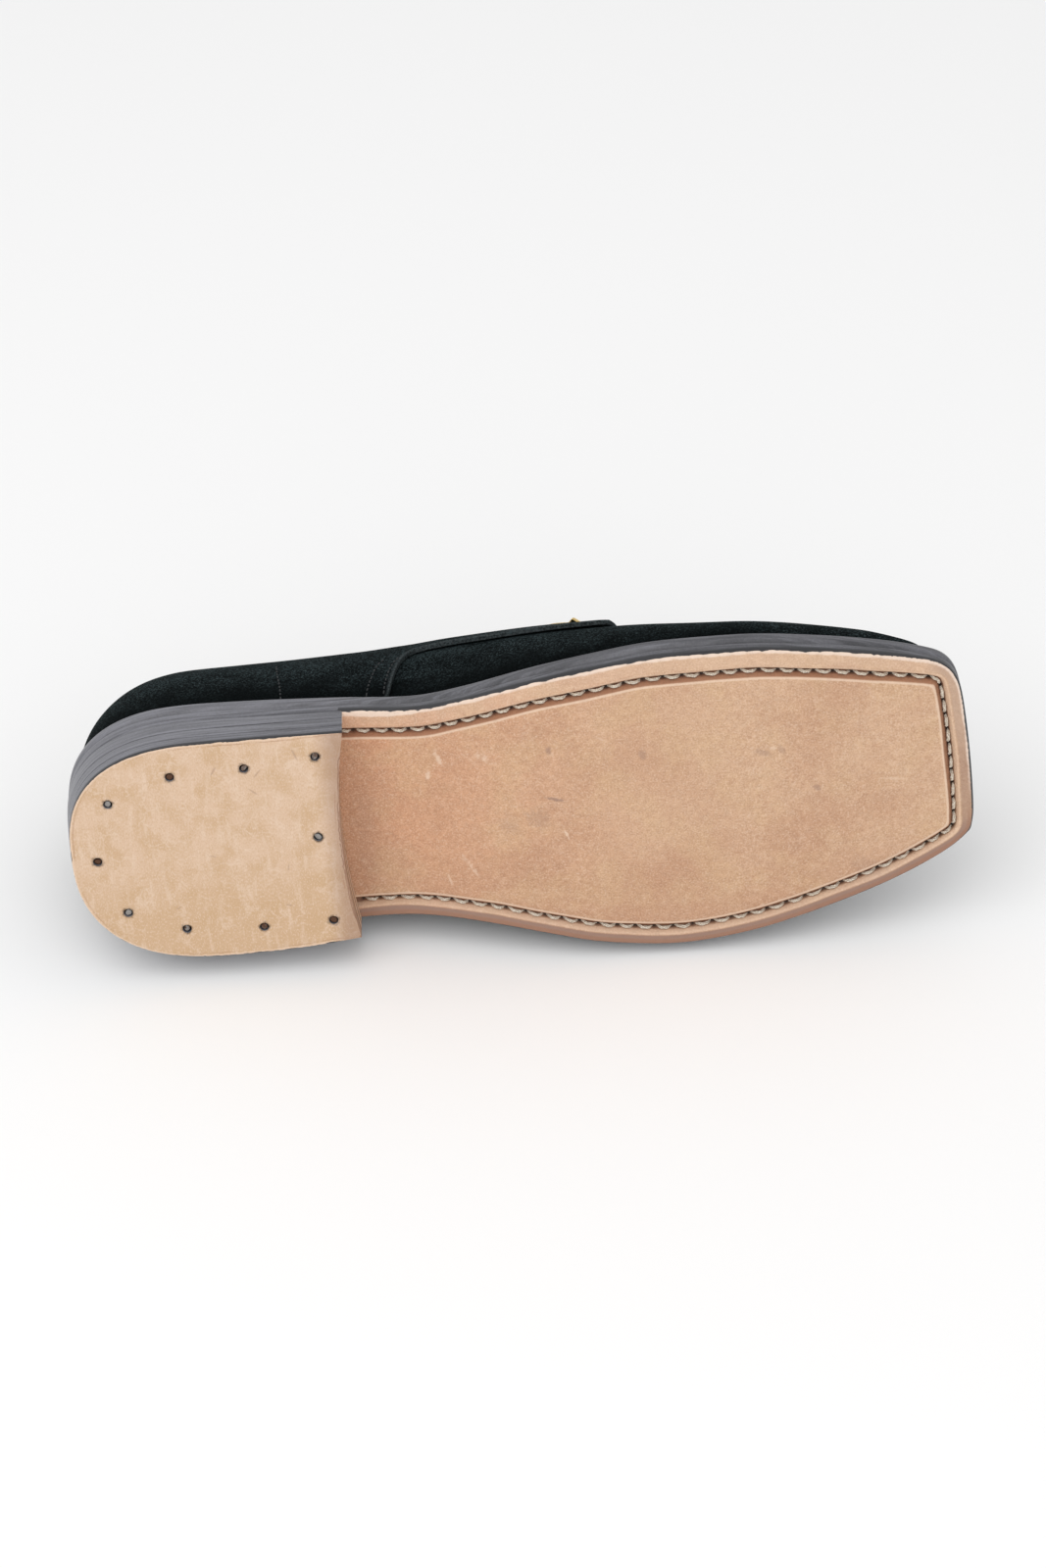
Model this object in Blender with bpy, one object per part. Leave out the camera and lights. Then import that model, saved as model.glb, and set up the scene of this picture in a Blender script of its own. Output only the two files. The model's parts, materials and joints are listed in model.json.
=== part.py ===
"""Left baroque latchet shoe with a square toe, a stitched leather sole and a low stacked heel.

The shoe is modelled upright in its own frame: +X runs from heel to toe, +Y to the outer side, +Z up,
with the ground at z = 0.  It is then laid on its outer side, resting on the sole edge and the upper.
"""

import math
from collections import namedtuple

import bmesh
import bpy
from mathutils import Matrix, Vector

MM = 0.001

# Driving sizes, in millimetres
SOLE_LENGTH = 293.0
BALL_WIDTH = 105.3
INSTEP_HEIGHT = 94.0
HEEL_STACK = 14.4
OUTSOLE_THICK = 5.2
MIDSOLE_THICK = 4.2
OUTSOLE_SHARE = OUTSOLE_THICK / (OUTSOLE_THICK + MIDSOLE_THICK)
INSOLE_THICK = 2.6
UPPER_WALL = 2.0
OVERLAY_WALL = 1.6
GAP = 0.3
FORM_GAP = 0.5

# Heel end and breast
HEEL_CENTRE = 0.154 * SOLE_LENGTH
HEEL_REACH = 0.160 * SOLE_LENGTH
HEEL_ROUND = 2.45
HEEL_SKEW = 1.4
HEEL_PITCH = 0.034
HEEL_STEP = 0.1
HEEL_TAPER_SIDE = 0.6
HEEL_TAPER_BACK = 1.7
BREAST_X = 0.312 * SOLE_LENGTH
BREAST_HOLLOW = 3.6
BREAST_STEPS = 8

# Square toe
TOE_POLE = 0.894 * SOLE_LENGTH
TOE_STATIONS_END = 1.024 * SOLE_LENGTH
TOE_HALF_WIDTH = 0.3 * BALL_WIDTH
TOE_FRONT_SLANT = 0.068
TOE_FRONT_BOW = 1.3
TOE_CORNER_INNER = 12.5
TOE_CORNER_OUTER = 8.5
TOE_PATH_STEPS = 6
UPPER_TOE_INSET = 5.4

# Stitch channel cut into the tread, and the tread's chamfer
CHANNEL_MARGIN_INNER = 7.8
CHANNEL_MARGIN_OUTER = 6.2
CHANNEL_MARGIN_TOE = 6.6
CHANNEL_HALF_WIDTH = 0.8
CHANNEL_WALL = 1.2
CHANNEL_DEPTH = 1.1
CHANNEL_CORNER = 3.4
EDGE_CHAMFER = 0.7
SHARP_ANGLE = math.radians(35)

# Top lift and its nails
TOP_LIFT_THICK = 5.0
NAIL_RADIUS = 1.25
NAIL_LENGTH = 3.0
NAIL_SUNK = 0.45
ROUND_SIDES = 12

# Buckle over the instep
BUCKLE_STATION = 0.5785 * SOLE_LENGTH
BUCKLE_ACROSS = 54.2
BUCKLE_ALONG = 38.0
BUCKLE_SQUARENESS = 3.0
BUCKLE_STEPS = 40
BUCKLE_BEND_RADIUS = 48.0
BUCKLE_BAND = 5.5
BUCKLE_THICK = 2.6
BUCKLE_BEVEL = 1.2
BUCKLE_LIFT = 6.8
CUSP_REACH = 3.1
CUSP_WIDTH = 1.6
CUSP_TURNS = (0.016, 0.048)
BAR_RADIUS = 1.2
PRONG_WIDTH = 2.6
PRONG_TIP_WIDTH = 1.4
PRONG_THICK = 1.4
PRONG_SPACING = 9.0
PRONG_STEPS = 6

PER_LENGTH = SOLE_LENGTH / 100
PER_WIDTH = BALL_WIDTH / 100
PER_INSTEP = INSTEP_HEIGHT / 100
PER_HEEL = HEEL_STACK / 100


def in_millimetres(rows, **units):
    """The rows of a table with its columns in per cent turned into millimetres."""
    return [
        row._replace(**{column: getattr(row, column) * unit for column, unit in units.items()})
        for row in rows
    ]


# Plan of the tread: place along the sole in per cent of its length, half-widths to the inner and outer
# side in per cent of the ball's width, and the millimetres by which the edge flares out on its way up
Plan = namedtuple("Plan", "x inner outer flare")
PLAN = in_millimetres(
    [
        Plan(0.0, 37.9, 37.8, 0.0),
        Plan(15.4, 37.9, 37.8, 1.5),
        Plan(23.9, 38.0, 37.1, 1.2),
        Plan(31.4, 38.0, 34.9, 0.6),
        Plan(38.2, 38.6, 33.4, 0.5),
        Plan(45.1, 42.9, 35.2, 0.9),
        Plan(51.9, 48.4, 38.9, 1.4),
        Plan(58.7, 52.0, 43.0, 1.8),
        Plan(66.6, 54.6, 45.4, 2.0),
        Plan(74.7, 54.8, 43.0, 1.9),
        Plan(83.3, 52.3, 36.9, 1.6),
        Plan(90.4, 48.6, 30.6, 1.2),
        Plan(96.2, 44.3, 23.6, 0.2),
        Plan(101.0, 39.1, 15.4, 0.0),
    ],
    x=PER_LENGTH,
    inner=PER_WIDTH,
    outer=PER_WIDTH,
)

# Height of the tread forward of the heel, in per cent of the heel: arch, flat tread and toe spring
Tread = namedtuple("Tread", "x z")
TREAD = in_millimetres(
    [
        Tread(31.4, 100.0),
        Tread(35.5, 83.3),
        Tread(40.3, 59.7),
        Tread(45.7, 33.3),
        Tread(51.2, 12.5),
        Tread(56.0, 2.1),
        Tread(59.4, 0.0),
        Tread(72.4, 0.0),
        Tread(80.2, 5.6),
        Tread(89.4, 20.8),
        Tread(101.0, 47.2),
    ],
    x=PER_LENGTH,
    z=PER_HEEL,
)

# The last: the millimetres by which the upper stands in from the tread, the ridge line over the top in
# per cent of the ball's width and the instep's height, and how square the wall is on each side
Last = namedtuple("Last", "x inset ridge_y ridge_z full_inner full_outer")
LAST = in_millimetres(
    [
        Last(0.0, 4.0, -1.4, 100.0, 3.2, 3.2),
        Last(7.5, 3.9, -1.4, 100.0, 2.5, 2.5),
        Last(15.4, 3.5, -1.9, 100.0, 2.4, 2.4),
        Last(31.4, 3.0, -3.8, 98.9, 2.8, 2.6),
        Last(41.0, 2.5, -5.7, 96.3, 3.4, 2.5),
        Last(51.2, 2.6, -7.6, 87.8, 3.0, 2.5),
        Last(60.8, 2.4, -9.5, 73.9, 3.0, 2.5),
        Last(70.0, 2.2, -10.4, 60.1, 3.3, 2.7),
        Last(80.2, 2.0, -11.4, 50.0, 4.1, 3.1),
        Last(89.4, 2.4, -11.9, 44.7, 4.6, 3.6),
        Last(102.4, 2.6, -11.9, 44.7, 4.6, 3.6),
    ],
    x=PER_LENGTH,
    ridge_y=PER_WIDTH,
    ridge_z=PER_INSTEP,
)
TOE_MIDDLE_Y = LAST[-1].ridge_y
HALF_TURN = math.pi / 2
ROW_EASE = 1.5
TUCK = 1.2
TUCK_HEIGHT = 5.0

# Top edge of the upper: the share of the way from the sole to the ridge line at which it ends
Edge = namedtuple("Edge", "x share")
TOPLINE = in_millimetres(
    [
        Edge(0.0, 0.665),
        Edge(6.8, 0.635),
        Edge(15.4, 0.575),
        Edge(23.9, 0.55),
        Edge(31.4, 0.58),
        Edge(37.5, 0.645),
        Edge(42.7, 0.70),
        Edge(51.2, 0.76),
        Edge(56.7, 0.85),
        Edge(59.4, 0.93),
        Edge(60.8, 1.0),
    ],
    x=PER_LENGTH,
)
THROAT = TOPLINE[-1].x
LATCHET_X = 0.556 * SOLE_LENGTH

# The front of a quarter and its latchet, from behind the side seam to the tip: where its lower and its
# upper edge run, as a place along the sole and a share from the sole to the ridge (over 1 is past the
# ridge), and how much of the lift over the other latchet it has
Flap = namedtuple("Flap", "row low_x low_share top_x top_share lift")
QUARTER_FRONT = in_millimetres(
    [
        Flap(0, 31.2, 0.0, 31.2, 0.58, 0.0),
        Flap(1, 36.0, 0.0, 35.5, 0.63, 0.0),
        Flap(2, 36.9, 0.16, 37.2, 0.655, 0.0),
        Flap(3, 38.2, 0.34, 38.9, 0.685, 0.0),
        Flap(4, 40.6, 0.415, 41.3, 0.73, 0.1),
        Flap(5, 47.8, 0.43, 44.0, 0.78, 0.6),
        Flap(6, 56.0, 0.435, 47.1, 0.86, 1.0),
        Flap(7, 60.8, 0.48, 48.8, 0.94, 1.0),
        Flap(8, 62.8, 0.68, 49.5, 1.02, 1.0),
        Flap(9, 62.8, 0.95, 50.2, 1.13, 1.0),
        Flap(10, 60.8, 1.22, 51.5, 1.24, 1.0),
    ],
    low_x=PER_LENGTH,
    top_x=PER_LENGTH,
)
QUARTER_FRONT_COLUMNS = 22
BACK_SEAM = 0.2
LATCHET_LIFT = 2.3

# The tongue under the latchets, from its free end to its root inside the vamp: its reach to each side
# as a share from the ridge to the sole, and the millimetres by which it lifts
Tongue = namedtuple("Tongue", "x reach lift")
TONGUE = in_millimetres(
    [
        Tongue(33.4, 0.27, 4.5),
        Tongue(36.9, 0.31, 2.0),
        Tongue(41.6, 0.34, 0.5),
        Tongue(47.8, 0.36, 0.0),
        Tongue(54.6, 0.36, 0.0),
        Tongue(60.8, 0.33, 0.0),
        Tongue(64.8, 0.26, 0.0),
    ],
    x=PER_LENGTH,
)
TONGUE_COLUMNS = 12
TONGUE_ROWS = 8
TONGUE_GAP = 1.4

# Nails of the top lift, round from the inner breast corner, in per cent of length and ball width
Nail = namedtuple("Nail", "x y")
NAILS = in_millimetres(
    [
        Nail(28.0, -29.9),
        Nail(20.1, -27.7),
        Nail(11.9, -26.6),
        Nail(4.8, -18.8),
        Nail(2.9, 0.8),
        Nail(5.6, 19.4),
        Nail(11.9, 26.6),
        Nail(20.5, 27.9),
        Nail(28.3, 27.4),
        Nail(27.5, -2.2),
    ],
    x=PER_LENGTH,
    y=PER_WIDTH,
)

# Colour, roughness and metallic value of each finish
Finish = namedtuple("Finish", "colour roughness metallic")
FINISHES = {
    "tread_leather": Finish((0.58, 0.36, 0.21), 0.62, 0.0),
    "lift_leather": Finish((0.66, 0.46, 0.29), 0.72, 0.0),
    "black_edge": Finish((0.060, 0.060, 0.065), 0.45, 0.0),
    "black_suede": Finish((0.010, 0.014, 0.014), 0.95, 0.0),
    "lining_leather": Finish((0.42, 0.30, 0.20), 0.7, 0.0),
    "brass": Finish((0.70, 0.50, 0.20), 0.3, 1.0),
    "iron": Finish((0.12, 0.10, 0.085), 0.55, 0.9),
}

# Columns round the shoe: stretches of stations on each side and the steps in each
Run = namedtuple("Run", "start end steps")
STATION_RUNS = [
    Run(0.0, HEEL_CENTRE, 9),
    Run(HEEL_CENTRE, BREAST_X, 5),
    Run(BREAST_X, LATCHET_X, 8),
    Run(LATCHET_X, THROAT, 3),
    Run(THROAT, TOE_POLE, 9),
    Run(TOE_POLE, TOE_STATIONS_END, 12),
]
WALL_ROWS = 10
INNER_SIDE = -1
OUTER_SIDE = 1


def smooth(table, column, x):
    """Value of a named column at x: a cubic through the rows that never overshoots them."""
    rows = [(row[0], getattr(row, column)) for row in table]
    if x <= rows[0][0]:
        return rows[0][1]
    if x >= rows[-1][0]:
        return rows[-1][1]
    k = next(i for i in range(len(rows) - 1) if x <= rows[i + 1][0])
    secants = [(b[1] - a[1]) / (b[0] - a[0]) for a, b in zip(rows, rows[1:])]
    (x0, y0), (x1, y1) = rows[k], rows[k + 1]
    span = x1 - x0
    m0 = knot_slope(secants, k) * span
    m1 = knot_slope(secants, k + 1) * span
    t = (x - x0) / span
    u = 1 - t
    return y0 * u * u * (1 + 2 * t) + m0 * t * u * u + y1 * t * t * (3 - 2 * t) - m1 * t * t * u


def knot_slope(secants, k):
    """Slope at row k: the harmonic mean of its neighbours, or level at a turning point."""
    if k == 0:
        return secants[0]
    if k == len(secants):
        return secants[-1]
    before, after = secants[k - 1], secants[k]
    if before * after <= 0:
        return 0.0
    return 2 * before * after / (before + after)


def tread_z(x):
    """Height of the tread: a plane over the heel, then the waist, tread and toe spring."""
    if x <= BREAST_X:
        return HEEL_STACK + HEEL_PITCH * (BREAST_X - x)
    return smooth(TREAD, "z", x)


def half_width(side, x):
    """Half of the tread's width on one side."""
    return smooth(PLAN, "outer" if side > 0 else "inner", x)


def toe_front(y):
    """The toe's front edge, a little slanted and bowed."""
    bow = TOE_FRONT_BOW * (1 - ((y - TOE_MIDDLE_Y) / TOE_HALF_WIDTH) ** 2)
    return SOLE_LENGTH + TOE_FRONT_SLANT * y + bow


def toe_corner(side, inset):
    """Where the side of the plan would meet the toe's front without its round corner."""
    x = SOLE_LENGTH - inset
    for _ in range(TOE_PATH_STEPS):
        y = side * (half_width(side, x) - inset)
        x = toe_front(y) - inset
    return Vector((x, y))


def toe_path(side, inset, corner_radius):
    """Points from the toe pole's station to the middle of the corner, and on to the middle of the front."""
    corner = toe_corner(side, inset)
    steps = TOE_PATH_STEPS
    along = [TOE_POLE + (corner.x - TOE_POLE) * i / steps for i in range(steps)]
    path = [Vector((x, side * (half_width(side, x) - inset))) for x in along]
    back = (path[-1] - corner).normalized()
    front = (Vector((toe_front(TOE_MIDDLE_Y) - inset, TOE_MIDDLE_Y)) - corner).normalized()
    turn = math.acos(max(-1.0, min(1.0, back.dot(front))))
    radius = corner_radius or (TOE_CORNER_OUTER if side > 0 else TOE_CORNER_INNER)
    reach = radius / math.tan(turn / 2)
    centre = corner + (back + front).normalized() * radius / math.sin(turn / 2)
    start, end = corner + back * reach, corner + front * reach
    chords = [start.lerp(end, i / steps) - centre for i in range(steps + 1)]
    bend = [centre + chord.normalized() * radius for chord in chords]
    across = [end.y + (TOE_MIDDLE_Y - end.y) * i / steps for i in range(1, steps + 1)]
    beside = [p for p in path if p.x < start.x] + bend[: steps // 2 + 1]
    before = bend[steps // 2 :] + [Vector((toe_front(y) - inset, y)) for y in across]
    return beside, before


def along_path(path, share):
    """The point that lies this share of the way along a polyline."""
    lengths = [(b - a).length for a, b in zip(path, path[1:])]
    left = share * sum(lengths)
    for a, b, length in zip(path, path[1:], lengths):
        if left <= length:
            return a.lerp(b, left / length)
        left -= length
    return path[-1]


def plan_point(side, station, inset, corner_radius=None):
    """A point of the plan outline.  Stations run 0 at the back seam to TOE_STATIONS_END at the front."""
    if station < HEEL_CENTRE:
        angle = HALF_TURN * (1 - station / HEEL_CENTRE)
        power = 2 / HEEL_ROUND
        back = (HEEL_REACH - inset) * math.sin(angle) ** power
        y = side * (half_width(side, HEEL_CENTRE) - inset) * math.cos(angle) ** power
        skew = HEEL_SKEW * math.sin(angle) ** 2
        return Vector((HEEL_CENTRE - back, y - skew))
    if station <= TOE_POLE:
        return Vector((station, side * (half_width(side, station) - inset)))
    share = 2 * (station - TOE_POLE) / (TOE_STATIONS_END - TOE_POLE)
    beside, before = toe_path(side, inset, corner_radius)
    return along_path(beside, share) if share < 1 else along_path(before, share - 1)


def stations():
    """Stations of the columns on one side, from the back seam to the middle of the toe."""
    marks = []
    for start, end, steps in STATION_RUNS:
        marks += [start + (end - start) * i / steps for i in range(steps)]
    return marks + [TOE_STATIONS_END]


def ring(inset, height, corner_radius=None):
    """A loop of points round the plan.  inset(station, side) and height(x) give its place."""
    marks = stations()
    loop = [(INNER_SIDE, s) for s in marks] + [(OUTER_SIDE, s) for s in marks[-2:0:-1]]
    points = []
    for side, station in loop:
        flat = plan_point(side, station, inset(station, side), corner_radius)
        points.append(Vector((flat.x, flat.y, height(flat.x))))
    return points


def toe_blend(station):
    """0 along the sides, rising to 1 across the toe's front."""
    share = (station - TOE_POLE) / (TOE_STATIONS_END - TOE_POLE)
    return min(1.0, max(0.0, 2 * share))


def flare(station):
    """How far the sole's edge leans out from the tread to the top of the midsole."""
    return smooth(PLAN, "flare", station)


def edge_inset(share):
    """Inset of the sole's side at this share of its height; negative as the side flares out."""
    return lambda station, side: -share * flare(station)


def upper_inset(station, side):
    """How far the foot of the upper stands in from the tread's plan."""
    inset = smooth(LAST, "inset", station)
    return inset + (UPPER_TOE_INSET - inset) * toe_blend(station)


def seat_z(x):
    """Height of the surface that the upper stands on."""
    return tread_z(x) + OUTSOLE_THICK + GAP + MIDSOLE_THICK


def form_point(station, share, offset):
    """A point of the upper's form, moved out by offset.

    share runs 0 at the inner foot of the wall, 1 on the ridge and 2 at the outer foot.
    """
    side = INNER_SIDE if share <= 1 else OUTER_SIDE
    rise = share if share <= 1 else 2 - share
    angle = HALF_TURN * max(rise, 0.0) ** ROW_EASE
    column = "full_outer" if side > 0 else "full_inner"
    fullness = smooth(LAST, column, station)
    foot = plan_point(side, station, upper_inset(station, side) - offset)
    top_x = min(max(station, HEEL_CENTRE), TOE_POLE)
    top = Vector((top_x, smooth(LAST, "ridge_y", top_x)))
    low = seat_z(foot.x) + GAP
    high = smooth(LAST, "ridge_z", top_x) + offset
    z = low + (high - low) * math.sin(angle) ** (2 / fullness)
    flat = top.lerp(foot, math.cos(angle))
    tuck = TUCK * max(0.0, 1 - (z - low) / TUCK_HEIGHT) ** 2
    flat -= (foot - top).normalized() * tuck
    return Vector((flat.x, flat.y, z))


def finish(name):
    """A Principled material of the named finish."""
    material = bpy.data.materials.get(name) or bpy.data.materials.new(name)
    material.use_nodes = True
    shader = material.node_tree.nodes["Principled BSDF"]
    colour, roughness, metallic = FINISHES[name]
    shader.inputs["Base Color"].default_value = (*colour, 1.0)
    shader.inputs["Roughness"].default_value = roughness
    shader.inputs["Metallic"].default_value = metallic
    material.diffuse_color = (*colour, 1.0)
    return material


def add_piece(name, mesh_data, finish_name):
    """One named object from a bmesh given in millimetres."""
    bmesh.ops.recalc_face_normals(mesh_data, faces=mesh_data.faces)
    bmesh.ops.scale(mesh_data, vec=Vector((MM, MM, MM)), verts=mesh_data.verts)
    mesh = bpy.data.meshes.new(name)
    mesh_data.to_mesh(mesh)
    mesh_data.free()
    mesh.shade_smooth()
    mesh.set_sharp_from_angle(angle=SHARP_ANGLE)
    mesh.materials.append(finish(finish_name))
    piece = bpy.data.objects.new(name, mesh)
    bpy.context.scene.collection.objects.link(piece)
    return piece


def shell(name, faces, outer, inner, finish_name):
    """A closed wall between two skins that share their faces; its open edges get rims."""
    made = bmesh.new()
    skins = [{key: made.verts.new(skin[key]) for key in skin} for skin in (outer, inner)]
    ends = {}
    for face in faces:
        made.faces.new([skins[0][key] for key in face])
        made.faces.new([skins[1][key] for key in reversed(face)])
        for a, b in zip(face, face[1:] + face[:1]):
            ends[a, b] = True
    for a, b in ends:
        if (b, a) not in ends:
            made.faces.new([skins[0][b], skins[0][a], skins[1][a], skins[1][b]])
    return add_piece(name, made, finish_name)


def grid_faces(columns, rows):
    """Four-cornered faces over a grid of points keyed by column and row."""
    return [
        [(i, j), (i + 1, j), (i + 1, j + 1), (i, j + 1)]
        for i in range(columns)
        for j in range(rows)
    ]


def plate(name, rings, finish_name):
    """A closed plate from a stack of rings, the first and last of them filled across like a ladder."""
    made = bmesh.new()
    loops = [[made.verts.new(point) for point in loop] for loop in rings]
    count = len(loops[0])
    for low, high in zip(loops, loops[1:]):
        for i in range(count):
            k = (i + 1) % count
            made.faces.new([low[i], low[k], high[k], high[i]])
    for loop in (loops[0], loops[-1]):
        for i in range(count // 2):
            rung = [loop[i], loop[i + 1], loop[count - i - 1], loop[-i]]
            corners = list(dict.fromkeys(rung))
            made.faces.new(corners)
    return add_piece(name, made, finish_name)


def channel_margin(station, side):
    """Distance from the tread's edge to the stitch channel: wider inside, closer round the toe."""
    margin = CHANNEL_MARGIN_INNER if side < 0 else CHANNEL_MARGIN_OUTER
    return margin + (CHANNEL_MARGIN_TOE - margin) * toe_blend(station)


def channel_ring(across, depth):
    """A loop that follows the stitch channel, at a distance across it and a depth in the tread."""
    return ring(
        lambda station, side: channel_margin(station, side) + across,
        lambda x: tread_z(x) + depth,
        CHANNEL_CORNER - across,
    )


def add_outsole():
    """The tread: a leather plate with a stitch channel below and a flared, chamfered edge."""
    lip = CHANNEL_HALF_WIDTH + CHANNEL_WALL
    rings = [
        channel_ring(lip, 0.0),
        channel_ring(CHANNEL_HALF_WIDTH, CHANNEL_DEPTH),
        channel_ring(-CHANNEL_HALF_WIDTH, CHANNEL_DEPTH),
        channel_ring(-lip, 0.0),
        ring(lambda station, side: EDGE_CHAMFER, tread_z),
        ring(edge_inset(0.0), lambda x: tread_z(x) + EDGE_CHAMFER),
        ring(edge_inset(OUTSOLE_SHARE), lambda x: tread_z(x) + OUTSOLE_THICK),
    ]
    return plate("outsole", rings, "tread_leather")


def add_midsole():
    """The second layer, whose black edge shows above the outsole all round."""
    rings = [
        ring(edge_inset(OUTSOLE_SHARE), lambda x: seat_z(x) - MIDSOLE_THICK),
        ring(edge_inset(1.0), lambda x: seat_z(x) - EDGE_CHAMFER),
        ring(lambda station, side: EDGE_CHAMFER - flare(station), seat_z),
    ]
    return plate("midsole", rings, "black_edge")


def add_insole():
    """The footbed inside the upper."""

    def inset(station, side):
        """Clear of the wall and of its tucked foot."""
        return upper_inset(station, side) + UPPER_WALL + TUCK + FORM_GAP

    rings = [
        ring(inset, lambda x: seat_z(x) + GAP),
        ring(inset, lambda x: seat_z(x) + GAP + INSOLE_THICK),
    ]
    return plate("insole", rings, "lining_leather")


def heel_outline(z):
    """Plan of the heel at a height: round back, straight sides and a hollow breast."""
    share = 1 - z / HEEL_STACK
    tuck_side = HEEL_STEP + HEEL_TAPER_SIDE * share
    tuck_back = HEEL_STEP + HEEL_TAPER_BACK * share
    marks = [station for station in stations() if station <= BREAST_X]
    sides = {}
    for side in (INNER_SIDE, OUTER_SIDE):
        sides[side] = []
        for station in marks:
            turn = max(0.0, 1 - station / HEEL_CENTRE)
            tuck = tuck_side + (tuck_back - tuck_side) * turn
            sides[side].append(plan_point(side, station, tuck))
    start, end = sides[INNER_SIDE][-1], sides[OUTER_SIDE][-1]
    breast = []
    for i in range(1, BREAST_STEPS):
        t = i / BREAST_STEPS
        point = start.lerp(end, t)
        point.x -= BREAST_HOLLOW * 4 * t * (1 - t)
        breast.append(point)
    return sides[INNER_SIDE] + breast + sides[OUTER_SIDE][:0:-1]


def add_lift(name, low, high, finish_name):
    """One layer of the heel between two heights, each a function of x."""
    made = bmesh.new()
    loops = []
    for height in (low, high):
        outline = heel_outline(height(HEEL_CENTRE))
        loops.append([made.verts.new((p.x, p.y, height(p.x))) for p in outline])
    count = len(loops[0])
    for i in range(count):
        k = (i + 1) % count
        made.faces.new([loops[0][i], loops[0][k], loops[1][k], loops[1][i]])
    made.faces.new(loops[0])
    made.faces.new(loops[1])
    return add_piece(name, made, finish_name)


def level(z):
    """A height that is the same everywhere."""
    return lambda x: z


def round_peg(radius, low, high, nail):
    """A bmesh cylinder that stands at a nail's place."""
    made = bmesh.new()
    bmesh.ops.create_cone(
        made,
        cap_ends=True,
        segments=ROUND_SIDES,
        radius1=radius,
        radius2=radius,
        depth=high - low,
        matrix=Matrix.Translation((nail.x, nail.y, (low + high) / 2)),
    )
    return made


def add_heel():
    """Top lift with its nails, and the two lifts between it and the outsole."""
    middle = (TOP_LIFT_THICK + HEEL_STACK) / 2
    top_lift = add_lift("top_lift", level(0.0), level(TOP_LIFT_THICK), "lift_leather")
    add_lift("heel_lift_lower", level(TOP_LIFT_THICK + GAP), level(middle), "black_edge")
    add_lift("heel_lift_upper", level(middle + GAP), lambda x: tread_z(x) - GAP, "black_edge")
    for number, nail in enumerate(NAILS, start=1):
        hole = round_peg(NAIL_RADIUS + GAP, -NAIL_LENGTH, NAIL_SUNK + NAIL_LENGTH + GAP, nail)
        cutter = add_piece(f"nail_hole_{number}", hole, "iron")
        cutter.hide_render = True
        cutter.display_type = "WIRE"
        cut = top_lift.modifiers.new(cutter.name, "BOOLEAN")
        cut.operation = "DIFFERENCE"
        cut.object = cutter
        peg = round_peg(NAIL_RADIUS, NAIL_SUNK, NAIL_SUNK + NAIL_LENGTH, nail)
        add_piece(f"heel_nail_{number:02d}", peg, "iron")


def add_upper():
    """Vamp and quarters as one hollow wall, open below and from the throat back round the collar."""
    marks = stations()
    faces, outer, inner = [], {}, {}

    def key(side, i, j):
        """Both sides share the back seam, the toe's middle column and the closed ridge."""
        if j == WALL_ROWS and marks[i] >= THROAT:
            return ("ridge", min(marks[i], TOE_POLE))
        return (0 if i in (0, len(marks) - 1) else side, i, j)

    for side in (INNER_SIDE, OUTER_SIDE):
        for i, station in enumerate(marks):
            top = smooth(TOPLINE, "share", station)
            for j in range(WALL_ROWS + 1):
                rise = top * j / WALL_ROWS
                share = rise if side < 0 else 2 - rise
                outer[key(side, i, j)] = form_point(station, share, 0.0)
                inner[key(side, i, j)] = form_point(station, share, -UPPER_WALL)
        for i in range(len(marks) - 1):
            for j in range(WALL_ROWS):
                corners = [(i, j), (i + 1, j), (i + 1, j + 1), (i, j + 1)]
                face = list(dict.fromkeys(key(side, a, b) for a, b in corners))
                faces.append(face if side < 0 else face[::-1])
    return shell("upper", faces, outer, inner, "black_suede")


def quarter_columns():
    """Ends of each column of a quarter: the upper's own columns, then the front out to the tip."""
    columns = []
    first = QUARTER_FRONT[0].low_x
    for station in stations():
        if station < first:
            station = max(station, BACK_SEAM)
            top = smooth(TOPLINE, "share", station)
            columns.append(Flap(0, station, 0.0, station, top, 0.0))
    for i in range(QUARTER_FRONT_COLUMNS + 1):
        row = i / QUARTER_FRONT_COLUMNS * QUARTER_FRONT[-1].row
        columns.append(Flap(*(smooth(QUARTER_FRONT, column, row) for column in Flap._fields)))
    return columns


def add_quarter(name, side, lift):
    """A quarter with its latchet, laid over the upper from the back seam to across the instep."""
    outer, inner = {}, {}
    columns = quarter_columns()
    for i, column in enumerate(columns):
        inside = FORM_GAP + lift * column.lift
        for j in range(WALL_ROWS + 1):
            t = j / WALL_ROWS
            station = column.low_x + (column.top_x - column.low_x) * t
            share = column.low_share + (column.top_share - column.low_share) * t
            share = share if side < 0 else 2 - share
            outer[i, j] = form_point(station, share, inside + OVERLAY_WALL)
            inner[i, j] = form_point(station, share, inside)
    return shell(name, grid_faces(len(columns) - 1, WALL_ROWS), outer, inner, "black_suede")


def add_tongue():
    """The tongue, inside the wall and under the latchets, its free end lifting a little."""
    outer, inner = {}, {}
    first, last = TONGUE[0].x, TONGUE[-1].x
    for i in range(TONGUE_COLUMNS + 1):
        station = first + (last - first) * i / TONGUE_COLUMNS
        reach, lift = smooth(TONGUE, "reach", station), smooth(TONGUE, "lift", station)
        for j in range(TONGUE_ROWS + 1):
            share = 1 + reach * (2 * j / TONGUE_ROWS - 1)
            outside = lift - UPPER_WALL - TONGUE_GAP
            outer[i, j] = form_point(station, share, outside)
            inner[i, j] = form_point(station, share, outside - OVERLAY_WALL)
    faces = grid_faces(TONGUE_COLUMNS, TONGUE_ROWS)
    return shell("tongue", faces, outer, inner, "black_suede")


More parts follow.
